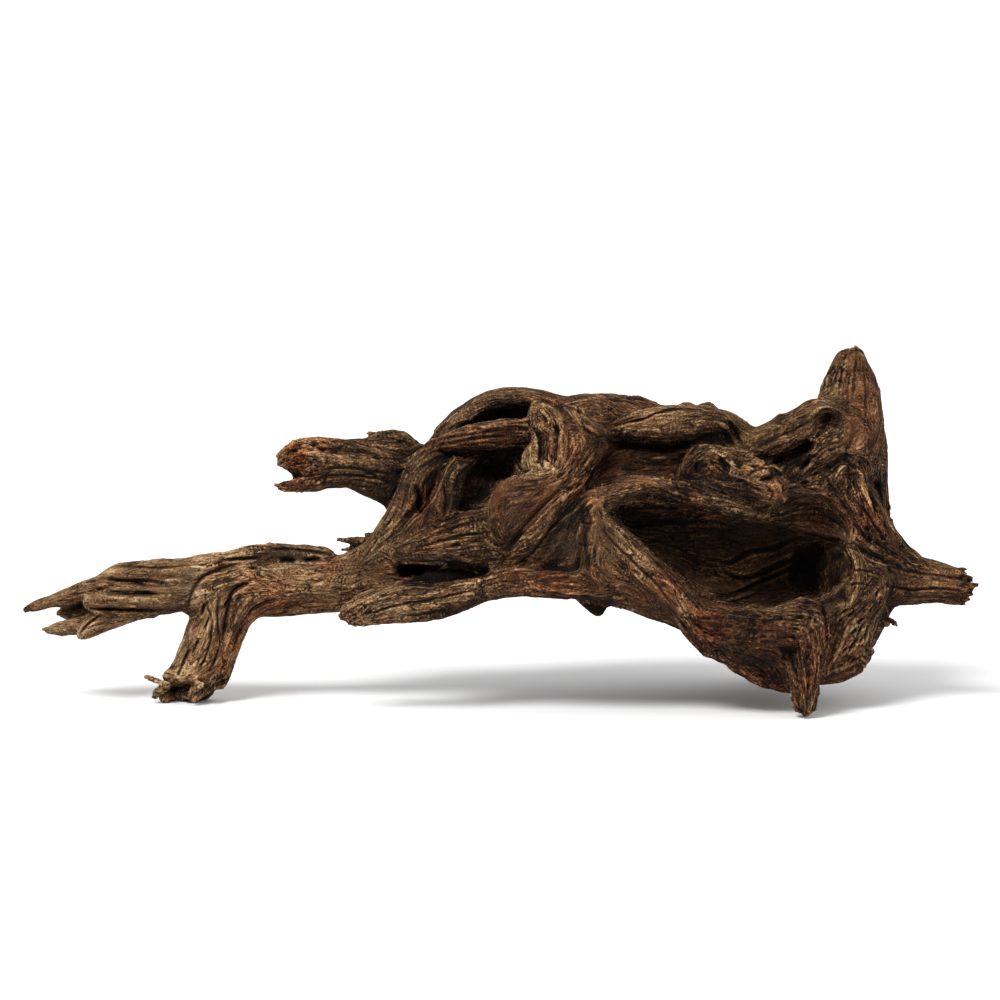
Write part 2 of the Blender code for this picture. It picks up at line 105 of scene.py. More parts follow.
def fromView(across, down, depth):
    # where in the drawing a pixel of the view lies, at a depth
    x = (across - view["middle"]) / view["scale"]
    up = (view["ground"] - down) / view["scale"]
    return np.stack([x, depth, up], axis=-1)


def smoothStep(values, low, high):
    t = np.clip((values - low) / (high - low), 0, 1)
    return t * t * (3 - 2 * t)


def unit(ways):
    return ways / np.maximum(np.linalg.norm(ways, axis=-1, keepdims=True), 1e-12)


def dot(a, b):
    return (a * b).sum(axis=-1)


def curveThrough(points, pieces=4):
    rows = np.array([points[0], *points, points[-1]], float)
    found = []
    for before, start, end, after in zip(rows, rows[1:], rows[2:], rows[3:]):
        for t in np.arange(pieces) / pieces:
            turn = 3 * start - before - 3 * end + after
            sag = 2 * before - 5 * start + 4 * end - after
            found.append(0.5 * (2 * start + (end - before) * t + sag * t**2 + turn * t**3))
    found.append(rows[-1])
    return np.array(found)


# Meshes as arrays


def meshFrom(name, points, faces):
    mesh = bpy.data.meshes.new(name)
    mesh.vertices.add(len(points))
    mesh.vertices.foreach_set("co", np.asarray(points, np.float32).ravel())
    mesh.loops.add(faces.size)
    mesh.loops.foreach_set("vertex_index", np.asarray(faces, np.int32).ravel())
    mesh.polygons.add(len(faces))
    starts = np.arange(0, faces.size, faces.shape[1], dtype=np.int32)
    mesh.polygons.foreach_set("loop_start", starts)
    mesh.update(calc_edges=True)
    return mesh


def pointsOf(mesh):
    points = np.empty(len(mesh.vertices) * 3, np.float32)
    mesh.vertices.foreach_get("co", points)
    return points.reshape(-1, 3).astype(float)


def spread(faces, values, count):
    # each face's value, summed at its corners
    repeated = np.repeat(values, faces.shape[1], axis=0)
    corners = faces.ravel()
    sums = [np.bincount(corners, weights=repeated[:, k], minlength=count) for k in range(3)]
    return np.stack(sums, axis=1)


def normalsOf(points, faces):
    last = points[faces[:, -1]]
    first = points[faces[:, 0]]
    if faces.shape[1] == 3:
        across = np.cross(points[faces[:, 1]] - first, last - first)
    else:
        across = np.cross(points[faces[:, 2]] - first, last - points[faces[:, 1]])
    return unit(spread(faces, across, len(points)))


def solidsAsOne():
    allPoints = []
    allFaces = []
    count = 0
    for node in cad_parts.values():
        mesh = node.data
        mesh.calc_loop_triangles()
        corners = np.empty(len(mesh.loop_triangles) * 3, np.int32)
        mesh.loop_triangles.foreach_get("vertices", corners)
        points = pointsOf(mesh) * 1000
        rounded = np.round(points, 3)
        _, first, same = np.unique(rounded, axis=0, return_index=True, return_inverse=True)
        points = points[first]
        faces = same.reshape(-1)[corners].reshape(-1, 3)
        doubled = (faces == np.roll(faces, 1, axis=1)).any(axis=1)
        faces = faces[~doubled]
        points = points + normalsOf(points, faces) * skin["overlap"]
        allPoints.append(points)
        allFaces.append(faces + count)
        count += len(points)
    return np.concatenate(allPoints), np.concatenate(allFaces)


def remeshed(points, faces, voxel):
    obj = bpy.data.objects.new("skin", meshFrom("skin", points, faces))
    bpy.context.scene.collection.objects.link(obj)
    modifier = obj.modifiers.new("voxels", "REMESH")
    modifier.mode = "VOXEL"
    modifier.voxel_size = voxel
    evaluated = obj.evaluated_get(bpy.context.evaluated_depsgraph_get())
    mesh = evaluated.to_mesh()
    newPoints = pointsOf(mesh)
    corners = np.empty(len(mesh.loops), np.int32)
    mesh.loops.foreach_get("vertex_index", corners)
    evaluated.to_mesh_clear()
    bpy.data.objects.remove(obj)
    return largestPiece(newPoints, corners.reshape(-1, 4))


def largestPiece(points, faces):
    label = np.arange(len(points))
    while True:
        fresh = label.copy()
        np.minimum.at(fresh, faces.ravel(), np.repeat(label[faces].min(axis=1), 4))
        fresh = fresh[fresh[fresh]]
        if (fresh == label).all():
            break
        label = fresh
    names, sizes = np.unique(label, return_counts=True)
    kept = label == names[sizes.argmax()]
    index = np.cumsum(kept) - 1
    return points[kept], index[faces[kept[faces[:, 0]]]]


class Links:
    # each point's neighbours along the mesh's edges

    def __init__(self, faces, count):
        self.start = faces.ravel()
        self.end = np.roll(faces, -1, axis=1).ravel()
        self.count = count
        self.share = 1 / np.maximum(np.bincount(self.start, minlength=count), 1)

    def total(self, weights):
        return np.bincount(self.start, weights=weights, minlength=self.count)

    def mean(self, values):
        if values.ndim == 1:
            return self.total(values[self.end]) * self.share
        return np.stack([self.mean(values[:, k]) for k in range(values.shape[1])], axis=1)


def relaxed(points, links, rounds):
    for _ in range(rounds):
        points = points + 0.5 * (links.mean(points) - points)
        points = points - 0.53 * (links.mean(points) - points)
    return points


def softened(values, links, rounds):
    for _ in range(rounds):
        values = 0.4 * values + 0.6 * links.mean(values)
    return values


class NearGrid:
    # finds a point of the skin near any place, by the cell that the place lies in

    def __init__(self, points, cell=1.2, rounds=3):
        self.cell = cell
        self.low = points.min(axis=0) - 5 * cell
        size = np.ceil((points.max(axis=0) - self.low) / cell).astype(int) + 5
        self.size = size
        cells = np.full(size, -1, np.int32)
        place = self.placeOf(points)
        cells[place[:, 0], place[:, 1], place[:, 2]] = np.arange(len(points))
        for _ in range(rounds):
            for axis in range(3):
                for way in (1, -1):
                    moved = np.roll(cells, way, axis=axis)
                    cells = np.where(cells < 0, moved, cells)
        self.cells = cells

    def placeOf(self, points):
        place = np.floor((points - self.low) / self.cell).astype(int)
        return np.clip(place, 0, self.size - 1)

    def find(self, points, instead):
        place = self.placeOf(points)
        found = self.cells[place[:, 0], place[:, 1], place[:, 2]]
        return np.where(found < 0, instead, found)


# Noise


class Noise:
    # smooth random values in space, about -1 to 1, the same at every run

    def __init__(self, seed, side=48):
        self.side = side
        values = np.random.default_rng(seed).uniform(-1, 1, (side,) * 3)
        self.values = values.astype(np.float32).ravel()

    def at(self, places):
        whole = np.floor(places)
        part = (places - whole).astype(np.float32)
        part = part * part * (3 - 2 * part)
        low = whole.astype(np.int64) % self.side
        high = (low + 1) % self.side
        total = 0
        for ends in np.ndindex(2, 2, 2):
            corner = [high[:, k] if ends[k] else low[:, k] for k in range(3)]
            share = 1
            for k in range(3):
                share = share * (part[:, k] if ends[k] else 1 - part[:, k])
            index = (corner[0] * self.side + corner[1]) * self.side + corner[2]
            total = total + share * self.values[index]
        return total


# Clouds of noise: size in millimetres, seed, layers
clouds = {
    "rough": (30, 31, 3),
    "torn": (22, 35, 3),
    "lumps": (9, 51, 2),
    "crumbs": (2.6, 54, 2),
    "grit": (1.9, 57, 1),
    "ragged": (6, 61, 2),
}


def cloudy(points, name):
    size, seed, layers = clouds[name]
    total = 0
    for layer in range(layers):
        total = total + Noise(seed + layer).at(points * 2**layer / size) / 2**layer
    return total


# Where the camera sees the skin


class Seen:
    def __init__(self, points, normals):
        self.across, self.down, depth = toView(points)
        facing = -normals @ away
        cells = 2 * view["middle"] // view["cell"]
        column = np.clip(self.across / view["cell"], 0, cells - 1).astype(int) + 1
        row = np.clip(self.down / view["cell"], 0, cells - 1).astype(int) + 1
        nearest = np.full((cells + 2, cells + 2), 1e9)
        front = facing > view["front"]
        np.minimum.at(nearest, (column[front], row[front]), depth[front])
        best = nearest.copy()
        for by in np.ndindex(3, 3):
            best = np.minimum(best, np.roll(nearest, (by[0] - 1, by[1] - 1), (0, 1)))
        behind = depth - best[column, row]
        self.clear = np.clip(1 - (behind - view["hidden"]) / view["fade"], 0, 1)
        self.clear = self.clear * smoothStep(facing, *view["edge"])

    def near(self, line, reach):
        low = line.min(axis=0) - reach
        high = line.max(axis=0) + reach
        inside = (self.across > low[0]) & (self.across < high[0])
        inside &= (self.down > low[1]) & (self.down < high[1]) & (self.clear > 0)
        return np.nonzero(inside)[0]


def alongLine(across, down, line):
    # distance to the line, share of its length, and which side it lies on
    best = np.full(len(across), 1e9)
    share = np.zeros(len(across))
    side = np.zeros(len(across))
    lengths = np.linalg.norm(np.diff(line, axis=0), axis=1)
    before = np.concatenate([[0], np.cumsum(lengths)])
    for k, (start, end) in enumerate(zip(line, line[1:])):
        way = end - start
        long = max(lengths[k], 1e-6)
        t = ((across - start[0]) * way[0] + (down - start[1]) * way[1]) / long**2
        t = np.clip(t, 0, 1)
        aside = across - start[0] - t * way[0]
        under = down - start[1] - t * way[1]
        far = np.hypot(aside, under)
        closer = far < best
        best = np.where(closer, far, best)
        share = np.where(closer, (before[k] + t * long) / before[-1], share)
        side = np.where(closer, np.sign(way[0] * under - way[1] * aside), side)
    return best, share, side


# Lines drawn on the view. Each has its width in pixels, its height in millimetres and its
# points. Below zero it is a groove.
folds = [
    # the arch, its slot, and the branch inside it
    (9, 1.0, [(428, 440), (452, 412), (478, 394), (505, 388), (535, 390), (560, 400)]),
    (4, 2.5, [(498, 405), (512, 403), (526, 404)]),
    (8, 1.2, [(434, 440), (470, 432), (505, 424), (530, 421)]),
    # the gnarl at the branch's end
    (5, 1.4, [(524, 402), (548, 404), (560, 420), (562, 445), (556, 470), (543, 488)]),
    (3.5, 1.3, [(528, 424), (545, 428), (552, 440), (548, 455), (533, 466)]),
    (4, -2.6, [(532, 424), (541, 445), (537, 466)]),
    (3.5, -2.0, [(548, 408), (556, 424), (557, 446), (550, 466)]),
    (4, 0.9, [(515, 449), (530, 462), (542, 467), (566, 461)]),
    (4, -1.8, [(540, 452), (549, 462), (562, 470)]),
    # strands round the eye
    (6, 1.6, [(374, 540), (395, 510), (405, 485), (420, 462), (446, 450)]),
    (5, 1.6, [(394, 525), (415, 498), (425, 475), (445, 465), (464, 461)]),
    (4, 1.5, [(440, 510), (450, 485), (460, 466), (474, 458)]),
    (6, -4.0, [(414, 482), (420, 500), (418, 520)]),
    (5, -3.0, [(444, 482), (446, 500), (444, 516)]),
    (4, -2.0, [(394, 478), (404, 471), (414, 477)]),
    (4, -1.8, [(408, 528), (425, 508), (437, 480), (448, 470)]),
    # the smooth tongue and the panels to its right
    (4, -2.4, [(509, 470), (492, 490), (488, 515), (494, 535), (507, 552)]),
    (4, -2.0, [(566, 484), (540, 510), (520, 530), (508, 552)]),
    (6, 1.0, [(556, 404), (576, 420), (584, 440), (578, 462), (556, 488)]),
    # the red ridge and the flaps
    (5, 1.6, [(480, 575), (520, 568), (560, 566), (598, 577)]),
    (4, 1.2, [(492, 592), (540, 588), (570, 590), (608, 597)]),
    (8, -3.0, [(492, 604), (550, 601), (596, 605)]),
    (9, -6.0, [(388, 566), (430, 570), (490, 573)]),
    (8, 1.5, [(340, 614), (380, 596), (415, 583), (456, 577)]),
    (5, -1.8, [(350, 619), (395, 606), (440, 598), (486, 587)]),
    (7, 1.4, [(392, 550), (425, 532), (460, 520), (498, 508)]),
    (4, -1.4, [(404, 552), (435, 543), (466, 535), (500, 532)]),
    # the flat spindle, the gap under it, and its neighbours
    (6, -5.0, [(604, 441), (640, 447), (672, 449), (710, 438)]),
    (3.5, 1.4, [(664, 457), (684, 452), (702, 446)]),
    (4, 1.8, [(718, 419), (728, 431), (738, 445)]),
    (3.5, -3.5, [(727, 418), (735, 431), (743, 446)]),
    (4, 1.6, [(580, 507), (610, 493), (630, 482), (660, 487), (690, 498), (726, 502)]),
    (3.5, 1.0, [(716, 508), (745, 514), (768, 519)]),
    # the knot, its ring and the nose
    (3.5, 2.2, [(704, 456), (712, 452), (721, 454), (730, 461), (733, 471)]),
    (5, -4.0, [(696, 474), (698, 465), (705, 461)]),
    (4.5, -3.6, [(716, 458), (724, 463), (726, 472)]),
    (4, 2.0, [(710, 466), (716, 470)]),
    (4.5, -4.0, [(761, 478), (766, 478), (771, 479)]),
    (5, -2.5, [(745, 498), (752, 500), (759, 500)]),
    (4, 1.0, [(740, 469), (756, 462), (769, 465), (777, 478), (781, 495)]),
    # the throat's slots under the horn
    (3, 1.6, [(798, 466), (810, 456), (824, 443)]),
    (4, -4.0, [(798, 472), (812, 459)]),
    (5, 1.2, [(735, 462), (770, 447), (800, 437), (822, 424)]),
    (4, -1.6, [(748, 452), (776, 438), (802, 426), (818, 414)]),
    (4, 1.0, [(742, 444), (768, 430), (796, 418), (816, 404)]),
    (5, 1.6, [(868, 362), (875, 400), (868, 425), (858, 447), (840, 465)]),
    (4, 1.0, [(838, 354), (827, 390), (812, 412)]),
    (3.5, 1.8, [(862, 446), (873, 480), (882, 510), (899, 548)]),
    (3.5, 1.5, [(853, 464), (865, 495), (876, 520), (896, 551)]),
    (3.5, -2.6, [(859, 458), (869, 490), (881, 521)]),
    (3.5, -2.0, [(872, 462), (879, 488), (888, 512)]),
    (4, -2.5, [(840, 534), (860, 547), (876, 557), (900, 566)]),
    # the hollow's pale lower rim
    (5, 1.8, [(594, 505), (620, 535), (640, 555), (660, 575), (680, 595), (697, 625)]),
    (4, 1.3, [(650, 584), (670, 610), (689, 641)]),
    (3.5, -2.0, [(660, 594), (676, 618), (693, 637)]),
    # the spike and the mass beside it
    (5, -3.0, [(780, 647), (794, 655), (798, 678)]),
    (5, 1.6, [(799, 630), (806, 680), (805, 708)]),
    (4, -3.2, [(820, 592), (827, 628), (831, 660)]),
    # the tip's slabs and the leg
    (3.5, -2.8, [(98, 579), (125, 581), (152, 585)]),
    (3, -4.2, [(92, 590), (120, 593), (145, 594), (168, 594)]),
    (3, -4.2, [(80, 600), (92, 608), (120, 610), (160, 611), (184, 608)]),
    (5, 1.6, [(96, 590), (103, 584), (112, 583)]),
    (4, -2.4, [(250, 560), (215, 571), (199, 581), (190, 598), (187, 620)]),
    (4, -2.4, [(262, 575), (234, 590), (227, 610), (221, 648)]),
    (3.5, -2.6, [(284, 597), (256, 605), (245, 622), (232, 648)]),
    (7, 1.4, [(236, 570), (214, 600), (206, 640), (186, 680)]),
    (5, 1.2, [(272, 586), (246, 602), (236, 625), (222, 662)]),
    (6, -4.0, [(162, 694), (180, 688), (202, 685)]),
    (3.5, 2.0, [(199, 670), (192, 688), (187, 702)]),
    (3.5, 2.0, [(217, 672), (206, 690), (193, 703)]),
    # the stub's grain
    (4, -1.2, [(306, 452), (345, 450), (396, 460)]),
    (4, -1.5, [(308, 478), (350, 475), (396, 482)]),
    (4, 0.6, [(310, 464), (355, 462), (400, 472)]),
    (4, -1.5, [(352, 488), (376, 505), (390, 527)]),
]

# Steps in the wood: what lies to the right of the line, as it is drawn, stands out
steps = [
    # layers in the hollow's back wall
    (26, 2.6, [(882, 561), (850, 546), (826, 538), (806, 534), (790, 541), (770, 549), (738, 555)]),
    (20, 2.4, [(812, 547), (786, 560), (765, 570), (742, 577), (712, 566)]),
    (18, 2.4, [(812, 556), (780, 572), (756, 582), (725, 594)]),
    (16, 2.0, [(772, 584), (740, 598), (716, 600), (680, 582)]),
    (18, 1.5, [(755, 592), (728, 602), (705, 598), (690, 585), (680, 570), (663, 562), (635, 559)]),
    (22, 1.6, [(866, 530), (836, 512), (812, 506), (784, 512)]),
    # panels of the trunk
    (26, 2.0, [(505, 556), (530, 528), (560, 500), (600, 474)]),
    (20, 1.6, [(522, 570), (552, 530), (575, 510), (598, 496)]),
    (18, 2.0, [(492, 566), (440, 564), (410, 563), (390, 550)]),
    (16, 1.5, [(616, 440), (590, 430), (572, 416), (556, 398)]),
    (14, 1.6, [(706, 420), (690, 436), (664, 441), (640, 437), (606, 430)]),
    (18, 1.5, [(818, 437), (785, 452), (760, 458), (732, 466)]),
    (14, 1.3, [(112, 577), (150, 580), (196, 578)]),
    (14, 2.2, [(83, 606), (86, 596), (97, 588), (96, 577)]),
    (10, 2.0, [(166, 598), (150, 596), (120, 595), (98, 592)]),
]

# Outlines that are used more than once
gapUnderFlap = [(399, 562), (430, 565), (488, 567), (488, 577), (466, 580), (430, 585), (406, 580)]
throatSlot = [(770, 467), (779, 457), (792, 448), (808, 440), (813, 444), (804, 457), (792, 468),
              (782, 479), (771, 479)]
upperSlot = [(796, 464), (804, 459), (810, 453), (814, 456), (806, 464), (798, 468)]
gnarlCleft = [(536, 428), (545, 432), (549, 445), (546, 461), (538, 464), (540, 446)]
spikeCleft = [(757, 672), (788, 677), (790, 690), (766, 688)]

# Areas pressed away from the camera, or brought forward if below zero: millimetres, softness
# of the edge in pixels, outline
dents = [
    (8.0, 3, gapUnderFlap),
    (9.0, 3, throatSlot),
    (5.0, 3, upperSlot),
    (5.0, 3, [(165, 687), (176, 683), (188, 684), (190, 690), (182, 698), (170, 698)]),
    (4.0, 3, [(206, 687), (222, 676), (226, 680), (216, 692), (204, 698)]),
    (6.0, 6, [(440, 450), (520, 450), (512, 462), (504, 476), (494, 486), (485, 500), (478, 510),
              (470, 500), (465, 480), (468, 465), (455, 460)]),
    (6.0, 5, [(816, 417), (826, 411), (840, 416), (841, 430), (827, 435), (818, 428)]),
    (5.0, 6, [(858, 450), (866, 454), (862, 470), (857, 490), (848, 492), (845, 470)]),
    (6.0, 6, [(800, 550), (843, 554), (846, 600), (806, 606), (792, 580)]),
    (2.5, 5, [(287, 452), (296, 446), (304, 458), (302, 472), (294, 474)]),
    (8.0, 4, [(610, 514), (624, 501), (645, 493), (665, 494), (690, 502), (722, 508), (722, 522),
              (660, 524), (620, 526)]),
    (-4.0, 12, [(520, 560), (548, 512), (588, 488), (606, 500), (596, 572), (540, 572)]),
    (5.0, 3, gnarlCleft),
    (4.0, 4, [(779, 647), (795, 649), (798, 674), (791, 670), (783, 656)]),
    (2.5, 6, spikeCleft),
    (-5.0, 7, [(466, 421), (500, 413), (526, 413), (526, 424), (470, 430)]),
]

# Parts moved as a whole: view point and depth, reach, then how far right, back and up, mm
nudges = [
    ((658, 397, 0), 18, (0, 0, -1.5)),
    ((874, 362, 0), 10, (-2.0, 0, 0)),
    ((155, 675, -1), 6, (4, 0, 0)),
    ((173, 704, 3), 5, (0, 0, 3.5)),
    ((187, 704, 3), 5, (0, 0, 3.5)),
    ((212, 702, 3), 11, (-1, 0, 5.0)),
    ((50, 614, 2), 9, (2, 0, 2.0)),
    ((884, 636, -8), 14, (-3.5, 0, 0)),
    ((786, 490, -62), 6, (-3.0, 0, 0)),
]

# Narrow lines, cut into the finished skin and darkened with painted shade
cracks = [
    (3.0, -1.8, [(583, 500), (590, 520), (585, 540), (589, 566)]),
    (2.2, -1.0, [(579, 519), (588, 524), (597, 520)]),
    (2.2, -1.0, [(578, 542), (586, 546), (595, 541)]),
    (2.4, -1.6, [(606, 430), (630, 422), (645, 418), (658, 412), (680, 409), (710, 410)]),
    (2.4, -1.0, [(763, 484), (773, 493), (767, 504)]),
    (2.2, -0.9, [(743, 480), (757, 470), (769, 471), (775, 487)]),
    (4.2, -3.0, [(700, 550), (725, 563), (750, 553), (775, 549), (790, 541), (806, 535), (828, 538),
                 (850, 545), (872, 556), (898, 567)]),
    (4.6, -3.2, [(716, 566), (742, 578), (765, 571), (786, 561), (808, 549)]),
    (4.0, -3.0, [(690, 598), (728, 596), (757, 583), (780, 573), (810, 557)]),
    (2.4, -1.6, [(645, 560), (665, 562), (680, 570), (690, 585), (705, 598), (730, 603), (760, 592)]),
    (2.0, -0.9, [(742, 531), (756, 527), (775, 530), (798, 521)]),
    (2.0, -0.7, [(634, 534), (652, 530), (676, 534), (705, 531)]),
    (2.2, -0.9, [(846, 572), (858, 570), (880, 573)]),
    (2.2, -0.9, [(845, 586), (860, 583), (872, 587)]),
    (2.4, -1.3, [(602, 503), (628, 532), (650, 556), (672, 580), (693, 606)]),
    (2.4, -1.3, [(593, 516), (616, 545), (638, 566), (660, 588), (682, 617)]),
    (2.2, -0.8, [(846, 350), (841, 380), (837, 407)]),
    (2.2, -0.8, [(856, 348), (854, 380), (850, 410)]),
    (2.2, -0.8, [(863, 354), (865, 385), (866, 412), (859, 440)]),
    (2.4, -1.3, [(852, 496), (866, 512), (874, 524), (889, 542)]),
    (2.4, -1.5, [(880, 583), (910, 590), (938, 588), (970, 592)]),
    (2.2, -1.0, [(880, 565), (918, 573), (950, 577), (974, 581)]),
    (2.2, -1.0, [(895, 598), (930, 597), (965, 601)]),
    (2.4, -2.6, [(99, 590), (112, 591), (130, 591), (148, 592), (160, 597)]),
    (2.2, -1.8, [(103, 579), (122, 580), (150, 581), (172, 584)]),
    (2.4, -2.6, [(82, 608), (100, 609), (125, 609), (150, 609), (174, 607)]),
    (4.0, -3.0, [(100, 592), (125, 594), (150, 595), (165, 600)]),
    (2.2, -1.8, [(79, 637), (86, 626), (104, 613)]),
    (2.2, -1.4, [(98, 569), (125, 567), (160, 568), (196, 565)]),
    (3.0, -2.2, [(222, 562), (240, 559), (262, 558)]),
    (4.5, -3.0, [(278, 561), (287, 560), (297, 562)]),
    (4.0, -3.0, [(301, 561), (312, 560), (325, 561)]),
    (2.4, -1.6, [(262, 551), (285, 549), (312, 552), (334, 556)]),
    (2.4, -1.8, [(205, 601), (201, 617)]),
    (2.4, -1.8, [(210, 615), (204, 631)]),
    (2.4, -1.8, [(200, 637), (192, 655)]),
    (2.4, -1.8, [(191, 647), (182, 665)]),
    (2.4, -1.8, [(185, 661), (177, 677)]),
    (2.2, -1.0, [(204, 582), (207, 606), (212, 622), (207, 652), (192, 682)]),
    (2.2, -1.0, [(222, 584), (217, 615), (219, 645), (207, 678)]),
    (2.2, -0.8, [(330, 452), (350, 444), (376, 447)]),
    (2.2, -1.0, [(316, 470), (350, 468), (396, 475)]),
    (5.0, -3.0, [(398, 564), (430, 571), (458, 573), (490, 573)]),
    (2.2, -1.0, [(406, 454), (440, 441), (470, 434), (518, 427)]),
    (2.2, -1.0, [(418, 450), (460, 440), (500, 436), (524, 436)]),
]

